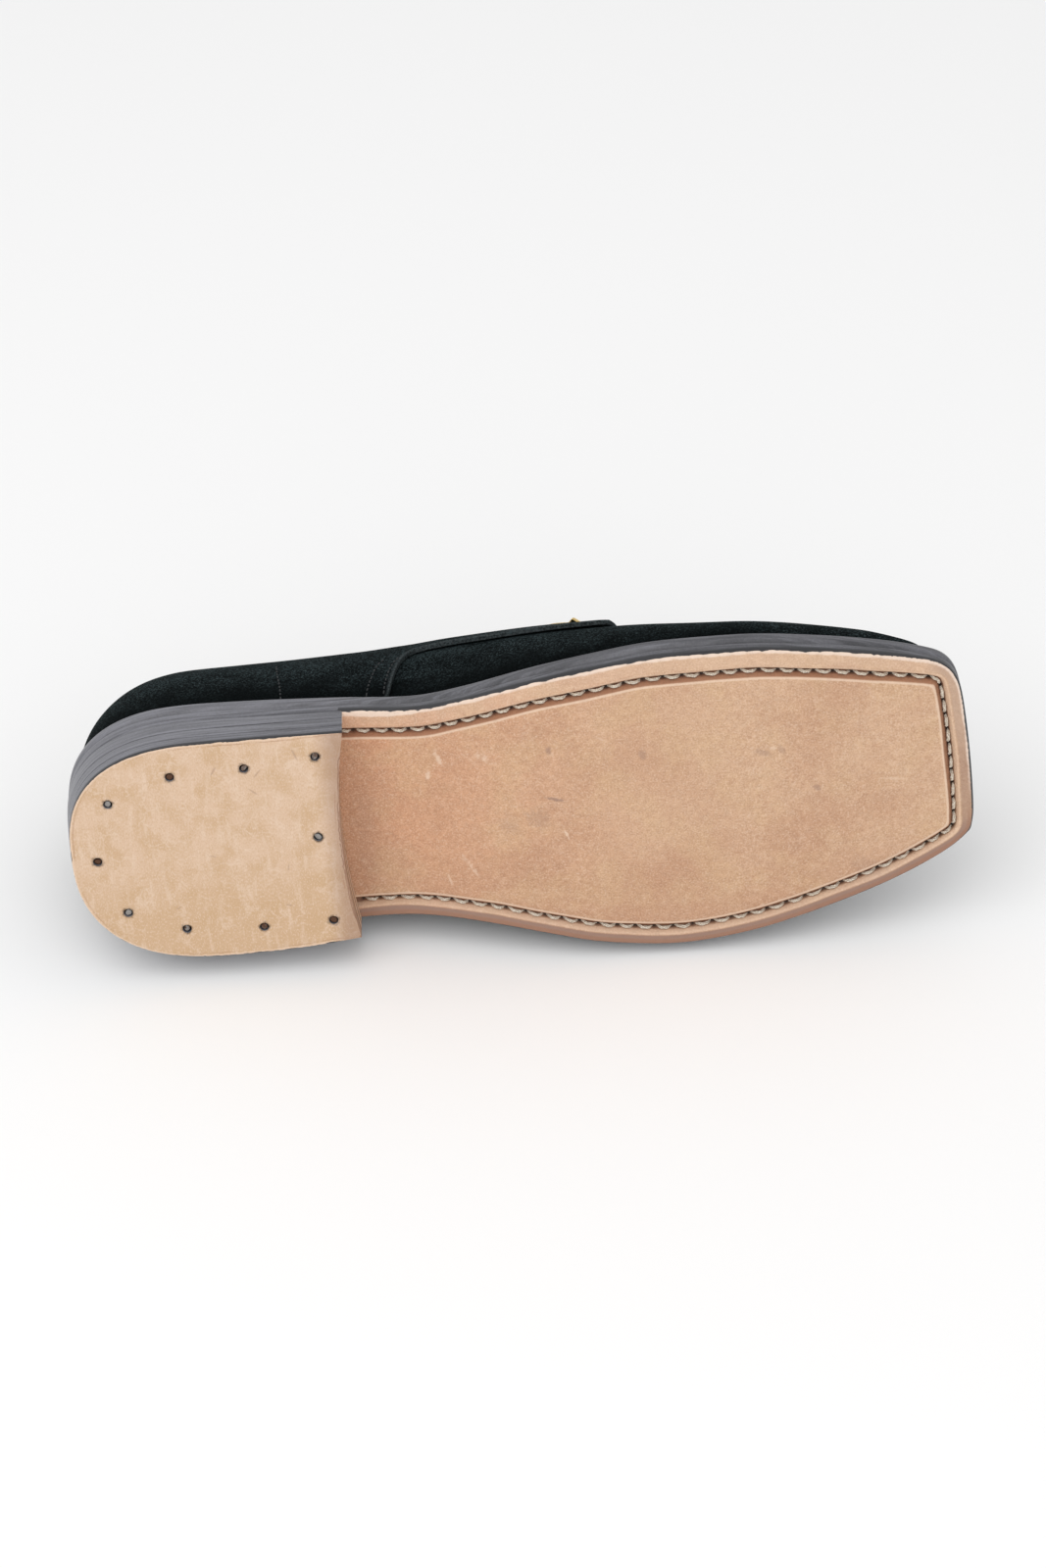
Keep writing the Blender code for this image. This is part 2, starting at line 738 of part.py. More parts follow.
def buckle_frame_axes():
    """The buckle's place on the ridge: its centre, and its directions across, along and out."""
    centre = form_point(BUCKLE_STATION, 1.0, 0.0)
    ahead = form_point(BUCKLE_STATION + BUCKLE_BAND, 1.0, 0.0)
    along = (ahead - centre).normalized()
    across = Vector((0, 1, 0))
    return centre, across, along, along.cross(across)


def buckle_point(across, along, lift):
    """A point in the bent plane of the buckle."""
    centre, right, forward, out = buckle_frame_axes()
    drop = across * across / (2 * BUCKLE_BEND_RADIUS)
    return centre + right * across + forward * along + out * (BUCKLE_LIFT + lift - drop)


def buckle_loop(inset, cusp):
    """A squarish oval, drawn in from the frame's outer edge, with a cusp at the middle of each end."""
    power = 2 / BUCKLE_SQUARENESS
    turns = [2 * math.pi * i / BUCKLE_STEPS for i in range(BUCKLE_STEPS)]
    for side in (1, -1):
        turns += [end + side * turn for end in (math.pi, 2 * math.pi) for turn in CUSP_TURNS]
    loop = []
    for turn in sorted(turn % (2 * math.pi) for turn in turns):
        across = math.copysign(abs(math.cos(turn)) ** power, math.cos(turn))
        along = math.copysign(abs(math.sin(turn)) ** power, math.sin(turn))
        along *= BUCKLE_ALONG / 2 - inset
        reach = BUCKLE_ACROSS / 2 - inset + cusp * math.exp(-((along / CUSP_WIDTH) ** 2))
        loop.append((across * reach, along))
    return loop


def add_buckle():
    """A bent oval frame, the bar across its middle and two prongs on the bar."""
    made = bmesh.new()
    shoulder = BUCKLE_THICK - BUCKLE_BEVEL
    profile = [
        (0.0, 0.0, CUSP_REACH),
        (0.0, shoulder, CUSP_REACH),
        (BUCKLE_BEVEL, BUCKLE_THICK, CUSP_REACH),
        (BUCKLE_BAND - BUCKLE_BEVEL, BUCKLE_THICK, 0.0),
        (BUCKLE_BAND, shoulder, 0.0),
        (BUCKLE_BAND, 0.0, 0.0),
    ]
    loops = []
    for inset, lift, cusp in profile:
        loop = buckle_loop(inset, cusp)
        loops.append([made.verts.new(buckle_point(x, y, lift)) for x, y in loop])
    count = len(loops[0])
    for low, high in zip(loops, loops[1:] + loops[:1]):
        for i in range(count):
            k = (i + 1) % count
            made.faces.new([low[i], low[k], high[k], high[i]])
    add_piece("buckle_frame", made, "brass")
    bar_reach = BUCKLE_ALONG / 2 - BUCKLE_BAND - GAP
    start, end = (buckle_point(0, reach, BAR_RADIUS) for reach in (-bar_reach, bar_reach))
    add_rod("buckle_bar", start, end, BAR_RADIUS, "brass")
    for number, spot in enumerate((-PRONG_SPACING / 2, PRONG_SPACING / 2), start=1):
        add_prong(f"buckle_prong_{number}", spot)


def add_rod(name, start, end, radius, finish_name):
    """A round rod between two points."""
    made = bmesh.new()
    run = end - start
    turn = run.to_track_quat("Z", "Y").to_matrix().to_4x4()
    bmesh.ops.create_cone(
        made,
        cap_ends=True,
        segments=ROUND_SIDES,
        radius1=radius,
        radius2=radius,
        depth=run.length,
        matrix=Matrix.Translation((start + end) / 2) @ turn,
    )
    return add_piece(name, made, finish_name)


def add_prong(name, along):
    """A flat prong from the bar out over the frame's inner side."""
    made = bmesh.new()
    low, high = 2 * BAR_RADIUS + GAP, BUCKLE_THICK + GAP
    reach = (BUCKLE_ACROSS - BUCKLE_BAND) / 2
    rims = []
    for i in range(PRONG_STEPS + 1):
        share = i / PRONG_STEPS
        half = (PRONG_WIDTH + (PRONG_TIP_WIDTH - PRONG_WIDTH) * share) / 2
        lift = low + (high - low) * share
        corners = [(-half, 0.0), (half, 0.0), (half, PRONG_THICK), (-half, PRONG_THICK)]
        rims.append(
            [made.verts.new(buckle_point(-reach * share, along + y, lift + z)) for y, z in corners]
        )
    for a, b in zip(rims, rims[1:]):
        for k in range(4):
            made.faces.new([a[k], a[(k + 1) % 4], b[(k + 1) % 4], b[k]])
    made.faces.new(rims[0])
    made.faces.new(rims[-1])
    return add_piece(name, made, "brass")


def resting_matrix(pieces):
    """The turn that lays the shoe on its outer side, on the face of its hull that is under it."""
    hull = bmesh.new()
    for piece in pieces:
        for vertex in piece.data.vertices:
            hull.verts.new(vertex.co)
    made = bmesh.ops.convex_hull(hull, input=hull.verts, use_existing_faces=False)
    inside = set(made["geom_interior"] + made["geom_unused"])
    spare = [item for item in inside if isinstance(item, bmesh.types.BMVert)]
    bmesh.ops.delete(hull, geom=spare, context="VERTS")
    bmesh.ops.recalc_face_normals(hull, faces=hull.faces)
    centre = sum((v.co for v in hull.verts), Vector()) / len(hull.verts)
    outward = Vector((0, 1, 0))
    below = [face for face in hull.faces if face.normal.dot(outward) > 0]

    def reach(face):
        """How far outwards from the middle the face's plane lies."""
        return (face.calc_center_median() - centre).dot(face.normal) / face.normal.dot(outward)

    up = -min(below, key=reach).normal
    toe = Vector((1, 0, 0))
    forward = (toe - up * toe.dot(up)).normalized()
    turn = Matrix((forward, up.cross(forward), up)).to_4x4()
    hull.free()
    return turn


def lay_down(pieces):
    """Parents every piece to one empty and lays it on the ground with the origin under its middle."""
    frame = bpy.data.objects.new("shoe_frame", None)
    bpy.context.scene.collection.objects.link(frame)
    turn = resting_matrix(pieces)
    corners = [turn @ vertex.co for piece in pieces for vertex in piece.data.vertices]
    low = Vector(min(p[k] for p in corners) for k in range(3))
    high = Vector(max(p[k] for p in corners) for k in range(3))
    shift = Vector((-(low.x + high.x) / 2, -(low.y + high.y) / 2, -low.z))
    frame.matrix_world = Matrix.Translation(shift) @ turn
    for piece in bpy.context.scene.objects:
        if piece.type == "MESH":
            piece.parent = frame
    return frame


def main():
    for old in list(bpy.data.objects):
        bpy.data.objects.remove(old)
    add_outsole()
    add_midsole()
    add_insole()
    add_heel()
    add_upper()
    add_tongue()
    add_quarter("quarter_inner", INNER_SIDE, 0.0)
    add_quarter("quarter_outer", OUTER_SIDE, LATCHET_LIFT)
    add_buckle()
    solids = [o for o in bpy.context.scene.objects if o.type == "MESH" and not o.hide_render]
    lay_down(solids)


main()
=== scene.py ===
"""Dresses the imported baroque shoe: leather sole with its sewn channel, nailed heel, suede upper and buckle.

Pieces are copies of the CAD nodes, merged, smoothed and worked in the shoe's own frame: +X from heel to
toe, +Y to the outer side, +Z up, with the ground under the tread at z = 0.
"""

import json
import math
import random
from collections import namedtuple

import bmesh
import bpy
from bpy.props import FloatProperty, FloatVectorProperty, PointerProperty
from mathutils import Matrix, Vector, noise
from mathutils.bvhtree import BVHTree
from mathutils.kdtree import KDTree


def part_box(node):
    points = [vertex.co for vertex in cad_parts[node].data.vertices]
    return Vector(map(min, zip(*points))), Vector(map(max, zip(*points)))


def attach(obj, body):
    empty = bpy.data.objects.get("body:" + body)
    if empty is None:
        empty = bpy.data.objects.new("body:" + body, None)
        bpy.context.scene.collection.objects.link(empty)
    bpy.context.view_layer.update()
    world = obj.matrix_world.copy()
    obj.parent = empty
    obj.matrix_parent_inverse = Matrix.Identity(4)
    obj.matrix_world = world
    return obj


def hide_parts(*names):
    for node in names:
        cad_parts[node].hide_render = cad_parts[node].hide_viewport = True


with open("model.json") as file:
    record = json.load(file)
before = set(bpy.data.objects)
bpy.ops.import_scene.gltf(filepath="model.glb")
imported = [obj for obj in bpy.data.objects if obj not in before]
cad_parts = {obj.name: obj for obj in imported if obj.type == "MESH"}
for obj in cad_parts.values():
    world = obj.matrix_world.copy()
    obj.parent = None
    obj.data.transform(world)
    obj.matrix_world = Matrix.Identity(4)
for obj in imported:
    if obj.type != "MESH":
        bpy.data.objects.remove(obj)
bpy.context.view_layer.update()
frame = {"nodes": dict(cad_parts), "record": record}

bl_info = {
    "name": "Baroque shoe",
    "version": (1, 0, 0),
    "blender": (4, 5, 0),
    "location": "View3D > Sidebar > Shoe",
    "description": "Builds the visible pieces of a baroque latchet shoe around its CAD model",
    "category": "Object",
}

MM = 0.001

# The two tread mounts in the shoe's own frame
HEEL_SPOT = Vector((50.0, 8.0)) * MM
BALL_SPOT = Vector((192.0, -5.0)) * MM

# Working the copied solids
MERGE = 0.00001
QUAD_BEND = math.radians(60)
QUAD_SHAPE = math.radians(180)
SHARP = math.radians(32)
UNDERSIDE = -0.85
FLAT_UNDERSIDE = -0.99
BOTTOM = -0.9
FACES_DOWN = -0.5
FACES_SIDEWAYS = -0.2
EDGE_STEP = 1.0 * MM
FAR = 12.0
SMOOTH_LEVELS = 2
TREAD_LEVELS = 3

# How firmly each node's sharp edges are held when it is smoothed
EDGE_HOLD = {
    "outsole": 0.45,
    "midsole": 0.5,
    "insole": 0.4,
    "heel_lift_lower": 1.0,
    "heel_lift_upper": 1.0,
    "top_lift": 1.0,
    "upper": 0.6,
    "quarter_inner": 0.6,
    "quarter_outer": 0.6,
    "tongue": 0.5,
    "buckle_frame": 0.55,
    "buckle_bar": 0.55,
    "buckle_prong_1": 0.55,
    "buckle_prong_2": 0.55,
}

# The tread's underside by area: the panel within the channel, the margin outside it, the channel's floor
MARGIN = 1
CHANNEL_FLOOR = 2

# Breast of the heel, and the tread's edge that the heel covers behind it
BREAST_X = 91.4 * MM
BREAST_REACH = 12 * MM
BREAST_FACING = 0.6
BARE_FROM = BREAST_X - 1.5 * MM
COVER_REACH = 4 * MM
NAIL_CLEAR = 2 * MM

# Stitched channel under the sole
TRAIL_STEP = 0.4 * MM
TRAIL_START = BREAST_X - 3 * MM
CHANNEL_START = BREAST_X - 4 * MM
CHANNEL_REACH = 6.0
LIP_REACH = 2.2
LIP_BEAD = 0.16
LIP_BEAD_WIDE = 0.5
LIP_BEAD_UNEVEN = 0.5
LIP_WANDER = 0.4
LIP_WANDER_PITCH = 0.055
LIP_WANDER_WIDE = 1.4
FLOOR_SINK = 0.7
FLOOR_WIDE = 1.25
PIT_LONG = 1.2
PIT_WIDE = 0.65
PIT_DEPTH = 0.9
TOE_X = 281.0 * MM
TOE_PITCH = 0.84
STITCH_UNEVEN = 0.08
THREAD_ROUNDNESS = 1

# A line through the middle of the foot, in mm, and how far the suede wanders off the last
FOOT_BACK = 45
FOOT_FRONT = 255
FOOT_SIDE = -2
FOOT_VEER = 9
FOOT_HIGH = 55
FOOT_FALL = 30
WALL_WANDER = 0.22 * MM
WANDER_PITCH = 0.022
RIPPLE = 0.4
RIPPLE_PITCH = 0.06

# Tints that no setting changes
EDGE_LINE = (0.02, 0.02, 0.022, 1.0)
HOLE_SHADE = (0.016, 0.009, 0.006, 1.0)
NAIL_HOLE_SHADE = (0.035, 0.018, 0.011, 1.0)
FRAYED_SUEDE = (0.066, 0.076, 0.079, 1.0)
THREAD_SHADE = (0.46, 0.39, 0.31, 1.0)
SEAM_THREAD = (0.045, 0.048, 0.05, 1.0)
SEAM_SHADE = (0.012, 0.013, 0.014, 1.0)
TARNISH = (0.34, 0.21, 0.07, 1.0)

# Lights and floor, in metres
KEY_PLACE = (-0.5, -0.6, 1.5)
KEY_SIZE = 1.6
FILL_PLACE = (0.5, -1.6, 0.9)
FILL_SIZE = 1.4
FLOOR_SIZE = 6.0
FLOOR_ROUGHNESS = 0.9
FLOOR_GLOSS = 0.1

# Seeds of what is a little uneven
STITCH_SEED = 3
THREAD_SEED = 11
NAIL_SEED = 5

# Camera, worked out from the photograph in the shoe's frame
VIEW_TILT = math.radians(27.5)
VIEW_ROLL = math.radians(4.3)
VIEW_DISTANCE = 1.4
VIEW_TARGET = Vector((148.0, -13.4, 5.0)) * MM
VIEW_LENS = 99.2
SENSOR = 36.0


def shoe_matrix():
    """The shoe's own frame in the row's frame, read off its two tread mounts."""
    spots = {mount["name"]: mount for mount in frame["record"]["mounts"]}
    heel = Vector(spots["heel_tread"]["pos_m"])
    run = Vector(spots["forefoot_tread"]["pos_m"]) - heel
    up = -Vector(spots["heel_tread"]["axis"]).normalized()
    run = (run - up * run.dot(up)).normalized()
    step = BALL_SPOT - HEEL_SPOT
    forward = Matrix.Rotation(-math.atan2(step.y, step.x), 3, up) @ run
    turn = Matrix((forward, up.cross(forward), up)).transposed().to_4x4()
    origin = heel - turn @ HEEL_SPOT.to_3d()
    return Matrix.Translation(origin) @ turn


SHOE = shoe_matrix()
TO_SHOE = SHOE.inverted()


def swatch(name, description, *shade):
    """A colour that a user may change."""
    return FloatVectorProperty(name=name, description=description, subtype="COLOR", default=shade)


def thread_size(name, description, metres):
    """A length that a user may change."""
    return FloatProperty(name=name, description=description, unit="LENGTH", default=metres)


class ShoeColours(bpy.types.PropertyGroup):
    """Colours of the shoe's leathers, threads and metals."""

    tread: swatch("Tread", "Sole leather under the ball", 0.645, 0.415, 0.265)
    tread_waist: swatch("Tread waist", "Sole leather by the heel", 0.63, 0.33, 0.19)
    tread_flush: swatch("Tread flush", "Redder patches of the sole", 0.52, 0.29, 0.175)
    tread_ochre: swatch("Tread ochre", "Yellower patches of the sole", 0.65, 0.435, 0.25)
    # Dark red-brown of the channel's cut walls, laid on the panel-side wall as painted shade and used for
    # dark creases, specks and lines elsewhere
    channel: swatch("Channel", "Cut walls of the channel", 0.34, 0.155, 0.085)
    # Greyish dirt on the sole, also laid as painted shade on the outer margin and as a painted shadow by the
    # heel's breast
    smudge_and_shade: swatch("Smudge", "Greyish dirt on the sole", 0.33, 0.205, 0.155)
    channel_floor: swatch("Channel floor", "Shaded floor of the channel", 0.22, 0.10, 0.06)
    # Pale leather, also laid on the channel's margin-side wall as painted light and along its lips as painted
    # highlight
    pale: swatch("Pale leather", "Worn lips and edges", 0.80, 0.60, 0.45)
    # Pinkish rim colour: torn leather along the inner edge, with painted highlight where that edge catches
    # the light
    raw_and_highlight: swatch("Raw leather", "Torn, pinkish rims", 0.87, 0.71, 0.60)
    lift: swatch("Top lift", "Leather under the heel", 0.68, 0.485, 0.34)
    lift_stain: swatch("Lift stain", "Ochre stains under the heel", 0.58, 0.385, 0.225)
    lift_pale: swatch("Lift nap", "Raised fibres under the heel", 0.76, 0.585, 0.45)
    # Grey rather than black: painted sheen of the burnished edge's gloss, laid into its colour
    dye_and_sheen: swatch("Edge dye", "Burnished black sole edge", 0.118, 0.118, 0.132)
    suede: swatch("Suede", "Black suede", 0.0012, 0.0019, 0.0021)
    nap: swatch("Nap", "Brushed nap of the suede", 0.044, 0.062, 0.066)
    lining: swatch("Lining", "Undyed lining", 0.47, 0.325, 0.205)
    thread: swatch("Sole thread", "Waxed linen thread", 0.84, 0.77, 0.66)
    brass: swatch("Brass", "Buckle", 0.76, 0.55, 0.22)
    iron: swatch("Iron", "Nails", 0.30, 0.285, 0.27)
    rust: swatch("Rust", "Rust on the nails", 0.13, 0.063, 0.036)


class ShoeSewing(bpy.types.PropertyGroup):
    """Sizes of the shoe's threads and stitches."""

    sole_pitch: thread_size("Sole stitch", "Length of a stitch in the channel", 0.0061)
    sole_ply: thread_size("Sole ply", "Radius of one ply of the sole thread", 0.00029)
    seam_pitch: thread_size("Seam stitch", "Length of a stitch in the upper", 0.0029)
    seam_ply: thread_size("Seam thread", "Radius of the upper's thread", 0.00026)


class ShoeStage(bpy.types.PropertyGroup):
    """Floor and light."""

    floor: swatch("Floor", "Colour of the floor", 0.95, 0.95, 0.95)
    sky: FloatProperty(name="Sky", description="Strength of the light all round", default=0.77)
    key: FloatProperty(name="Key light", description="Soft light from above", subtype="POWER", default=9.0)
    fill: FloatProperty(
        name="Fill light", description="Soft light from the front", subtype="POWER", default=4.0
    )


def node_copy(node):
    """A bmesh copy of a CAD node in the shoe's frame, merged, with its triangles joined to quads."""
    shape = bmesh.new()
    shape.from_mesh(frame["nodes"][node].data)
    bmesh.ops.remove_doubles(shape, verts=shape.verts, dist=MERGE)
    bmesh.ops.join_triangles(
        shape,
        faces=shape.faces,
        angle_face_threshold=QUAD_BEND,
        angle_shape_threshold=QUAD_SHAPE,
    )
    bmesh.ops.transform(shape, matrix=TO_SHOE, verts=shape.verts)
    shape.normal_update()
    return shape


def sharp_edges(shape):
    """Edges where the surface turns sharply."""
    return [edge for edge in shape.edges if edge.is_manifold and edge.calc_face_angle() > SHARP]


def crease(shape, value):
    """Keeps the sharp edges crisp when the shape is smoothed."""
    layer = shape.edges.layers.float.new("crease_edge")
    for edge in sharp_edges(shape):
        edge[layer] = value


def smoothed(shape, levels):
    """The shape after an applied Subdivision Surface."""
    mesh = bpy.data.meshes.new("cage")
    shape.to_mesh(mesh)
    shape.free()
    cage = bpy.data.objects.new("cage", mesh)
    bpy.context.scene.collection.objects.link(cage)
    smooth = cage.modifiers.new("smooth", "SUBSURF")
    smooth.levels = smooth.render_levels = levels
    graph = bpy.context.evaluated_depsgraph_get()
    fine = bpy.data.meshes.new_from_object(cage.evaluated_get(graph))
    bpy.data.objects.remove(cage)
    bpy.data.meshes.remove(mesh)
    made = bmesh.new()
    made.from_mesh(fine)
    bpy.data.meshes.remove(fine)
    made.normal_update()
    return made


def dressed(node, levels=SMOOTH_LEVELS):
    """A CAD node's shape, smoothed with its sharp edges held."""
    shape = node_copy(node)
    crease(shape, EDGE_HOLD[node])
    return smoothed(shape, levels)


def field(shape, name):
    """A float layer on the shape's vertices, read by a material as an attribute."""
    return shape.verts.layers.float.get(name) or shape.verts.layers.float.new(name)


def add_piece(shape, name, slot, nodes=(), finishes=None):
    """Turns a bmesh in the shoe's frame into a piece that rides on the shoe and stands for CAD nodes.

    Its finish is its slot's, unless others are given.
    """
    place = shape.verts.layers.float_vector.new("shoe")
    for vert in shape.verts:
        vert[place] = vert.co / MM
    bmesh.ops.transform(shape, matrix=SHOE, verts=shape.verts)
    for face in shape.faces:
        face.smooth = True
    mesh = bpy.data.meshes.new(name)
    shape.to_mesh(mesh)
    shape.free()
    for finish in finishes or [finish_of(slot)]:
        mesh.materials.append(finish)
    piece = bpy.data.objects.new(name, mesh)
    bpy.context.scene.collection.objects.link(piece)
    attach(piece, "root")
    if nodes:
        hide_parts(*nodes)
    return piece


def islands(faces):
    """Sets of faces that hang together, the largest first."""
    left = set(faces)
    found = []
    while left:
        front = [left.pop()]
        island = set(front)
        while front:
            for edge in front.pop().edges:
                for other in edge.link_faces:
                    if other in left:
                        left.discard(other)
                        island.add(other)
                        front.append(other)
        found.append(island)
    return sorted(found, key=lambda island: sum(face.calc_area() for face in island), reverse=True)


def undersides(shape):
    """Islands of faces that look down, the largest first."""
    return islands(face for face in shape.faces if face.normal.z < UNDERSIDE)


def left_turning(loop):
    """A closed loop that turns left seen from above, from its rearmost point on."""
    if sum(a.x * b.y - a.y * b.x for a, b in zip(loop, loop[1:] + loop[:1])) < 0:
        loop = loop[::-1]
    first = min(range(len(loop)), key=lambda i: tuple(loop[i]))
    return loop[first:] + loop[:first]


def border_loops(faces):
    """Closed loops of points round a set of faces, all turning left, the longest first."""
    edges = {e for face in faces for e in face.edges if sum(f in faces for f in e.link_faces) == 1}
    loops = []
    while edges:
        edge = edges.pop()
        start, here = edge.verts
        loop = [start.co.copy()]
        while here is not start:
            loop.append(here.co.copy())
            edge = next(e for e in here.link_edges if e in edges)
            edges.discard(edge)
            here = edge.other_vert(here)
        loops.append(left_turning(loop))
    return sorted(loops, key=closed_length, reverse=True)


def closed_length(loop):
    """Length once round a closed loop of points."""
    return sum((b - a).length for a, b in zip(loop, loop[1:] + loop[:1]))


def curve_through(points, step, closed=False):
    """Points at an even step along a smooth curve through the given ones."""
    count = len(points)
    spans = count if closed else count - 1
    fine = []
    for i in range(spans):
        if closed:
            p0, p1, p2, p3 = (points[(i + k) % count] for k in (-1, 0, 1, 2))
        else:
            p0, p1, p2, p3 = (points[min(max(i + k, 0), count - 1)] for k in (-1, 0, 1, 2))
        parts = max(2, math.ceil((p2 - p1).length / step))
        for j in range(parts):
            t = j / parts
            bend = (p2 - p0) * t + (2 * p0 - 5 * p1 + 4 * p2 - p3) * t * t
            fine.append(p1 + 0.5 * (bend + (3 * p1 - p0 - 3 * p2 + p3) * t * t * t))
    if not closed:
        fine.append(points[-1])
    return fine


def tree_of(points):
    """A search tree over points."""
    tree = KDTree(len(points))
    for i, point in enumerate(points):
        tree.insert(point, i)
    tree.balance()
    return tree


def channel_trail(shape):
    """The middle of the channel's floor, from the inner breast round the toe to the outer breast."""
    near, far = border_loops(undersides(shape)[CHANNEL_FLOOR])
    other = tree_of(far)
    middle = [(point + other.find(point)[0]) / 2 for point in near]
    first = min(range(len(middle)), key=lambda i: middle[i].x)
    middle = middle[first:] + middle[:first]
    if middle[len(middle) // 4].y > 0:
        middle.reverse()
    loop = curve_through(middle, TRAIL_STEP, closed=True)
    return [point for point in loop if point.x > TRAIL_START]


def stitch_marks(trail, lengths, pitch):
    """Lengths along the channel at which the thread goes through, a little uneven and closer at the toe."""
    draw = random.Random(STITCH_SEED)
    marks = [0.0]
    for point, length in zip(trail, lengths):
        if length >= marks[-1]:
            closer = TOE_PITCH if point.x > TOE_X else 1.0
            uneven = draw.uniform(1 - STITCH_UNEVEN, 1 + STITCH_UNEVEN)
            marks.append(marks[-1] + pitch * closer * uneven)
    return marks[:-1]


def left_of(ahead):
    """The level direction to the left of a heading."""
    return Vector((-ahead.y, ahead.x, 0.0)).normalized()


def trail_lengths(trail):
    """Length along a trail at each of its points."""
    lengths = [0.0]
    for a, b in zip(trail, trail[1:]):
        lengths.append(lengths[-1] + (b - a).length)
    return lengths


def colour(name):
    """A named colour of the shoe, with alpha."""
    return (*getattr(bpy.context.scene.shoe_colours, name), 1.0)


def add_node(tree, kind, inputs=None, **settings):
    """A shader node with its settings, and its inputs set or linked."""
    made = tree.nodes.new(kind)
    for name, value in settings.items():
        setattr(made, name, value)
    for name, value in (inputs or {}).items():
        if isinstance(value, bpy.types.NodeSocket):
            tree.links.new(value, made.inputs[name])
        else:
            made.inputs[name].default_value = value
    return made


def calc(tree, operation, a, b=0.0, c=0.0):
    """The result of a sum on values."""
    return add_node(tree, "ShaderNodeMath", {0: a, 1: b, 2: c}, operation=operation).outputs[0]


def times(tree, a, b):
    """One value or mask times another."""
    return calc(tree, "MULTIPLY", a, b)


def away(tree, value, line):
    """How far a value lies from a line, on either side."""
    return calc(tree, "ABSOLUTE", calc(tree, "SUBTRACT", value, line))


def ramp(tree, value, low, high, to_low=0.0, to_high=1.0):
    """A smooth step of a value from one range to another."""
    ends = {"Value": value, "From Min": low, "From Max": high, "To Min": to_low, "To Max": to_high}
    made = add_node(tree, "ShaderNodeMapRange", ends, interpolation_type="SMOOTHSTEP")
    return made.outputs["Result"]


def blend(tree, share, a, b):
    """A mix of two colours."""
    return add_node(tree, "ShaderNodeMix", {0: share, 6: a, 7: b}, data_type="RGBA").outputs[2]


def between(tree, share, a, b):
    """A mix of two values."""
    return add_node(tree, "ShaderNodeMix", {0: share, 2: a, 3: b}, data_type="FLOAT").outputs[0]


def layered(tree, base, layers):
    """A colour with the shoe's colours laid over it, each by its mask, the first one lowest."""
    for mask, name in layers:
        base = blend(tree, mask, base, colour(name))
    return base


def cloud(tree, place, scale, detail=2.0, stretch=None):
    """A noise value over places in millimetres, drawn out along the axes by stretch."""
    if stretch:
        place = add_node(tree, "ShaderNodeMapping", {"Vector": place, "Scale": stretch}).outputs[0]
    ends = {"Vector": place, "Scale": scale, "Detail": detail}
    return add_node(tree, "ShaderNodeTexNoise", ends).outputs[0]


def axes(tree, place):
    """A place's X, Y and Z."""
    return add_node(tree, "ShaderNodeSeparateXYZ", {0: place}).outputs


def read(tree, name, output="Fac"):
    """An attribute of the piece."""
    return add_node(tree, "ShaderNodeAttribute", attribute_name=name).outputs[output]


def group_tree(name, inputs, outputs):
    """A node group with named sockets: the group, its input node's outputs and its output node's inputs."""
    group = bpy.data.node_groups.new(name, "ShaderNodeTree")
    for label, kind, default in inputs:
        socket = group.interface.new_socket(label, in_out="INPUT", socket_type=kind)
        if default is not None:
            socket.default_value = default
    for label, kind in outputs:
        group.interface.new_socket(label, in_out="OUTPUT", socket_type=kind)
    start = group.nodes.new("NodeGroupInput")
    end = group.nodes.new("NodeGroupOutput")
    return group, start.outputs, end.inputs


def warped(tree, place, scale, amount):
    """Places pushed about by a noise, in millimetres."""
    kind = "ShaderNodeVectorMath"
    drift = add_node(tree, "ShaderNodeTexNoise", {"Vector": place, "Scale": scale, "Detail": 3.0})
    ends = {0: drift.outputs["Color"], 1: (0.5, 0.5, 0.5)}
    centred = add_node(tree, kind, ends, operation="SUBTRACT").outputs[0]
    push = add_node(tree, kind, {0: centred, "Scale": amount}, operation="SCALE").outputs[0]
    return add_node(tree, kind, {0: place, 1: push}, operation="ADD").outputs[0]


def cell_lines(tree, place, scale, width):
    """A mask of the lines between irregular cells."""
    ends = {"Vector": place, "Scale": scale}
    cells = add_node(tree, "ShaderNodeTexVoronoi", ends, feature="DISTANCE_TO_EDGE")
    return ramp(tree, cells.outputs[0], width, 0.0)


def grain_group():
    """Leather grain: its height, a mask of the creases between pebbles and a mask of pale veins."""
    group, given, put = group_tree(
        "leather_grain",
        [("Place", "NodeSocketVector", None), ("Size", "NodeSocketFloat", 1.0)],
        [("Height", "NodeSocketFloat"), ("Crease", "NodeSocketFloat"), ("Vein", "NodeSocketFloat")],
    )
    place = given["Place"]
    creases = cell_lines(group, warped(group, place, 0.7, 1.0), given["Size"], 0.34)
    creases = times(group, creases, ramp(group, cloud(group, place, 0.5, 3.0), 0.35, 0.6))
    vein_size = times(group, given["Size"], 0.42)
    veins = cell_lines(group, warped(group, place, 0.25, 7.0), vein_size, 0.1)
    veins = times(group, veins, ramp(group, cloud(group, place, 0.13, 3.0), 0.42, 0.62))
    pores = cloud(group, place, 2.6, 4.0)
    height = calc(group, "SUBTRACT", times(group, pores, 0.9), creases)
    group.links.new(calc(group, "MULTIPLY_ADD", veins, 0.5, height), put["Height"])
    group.links.new(creases, put["Crease"])
    group.links.new(veins, put["Vein"])
    return group


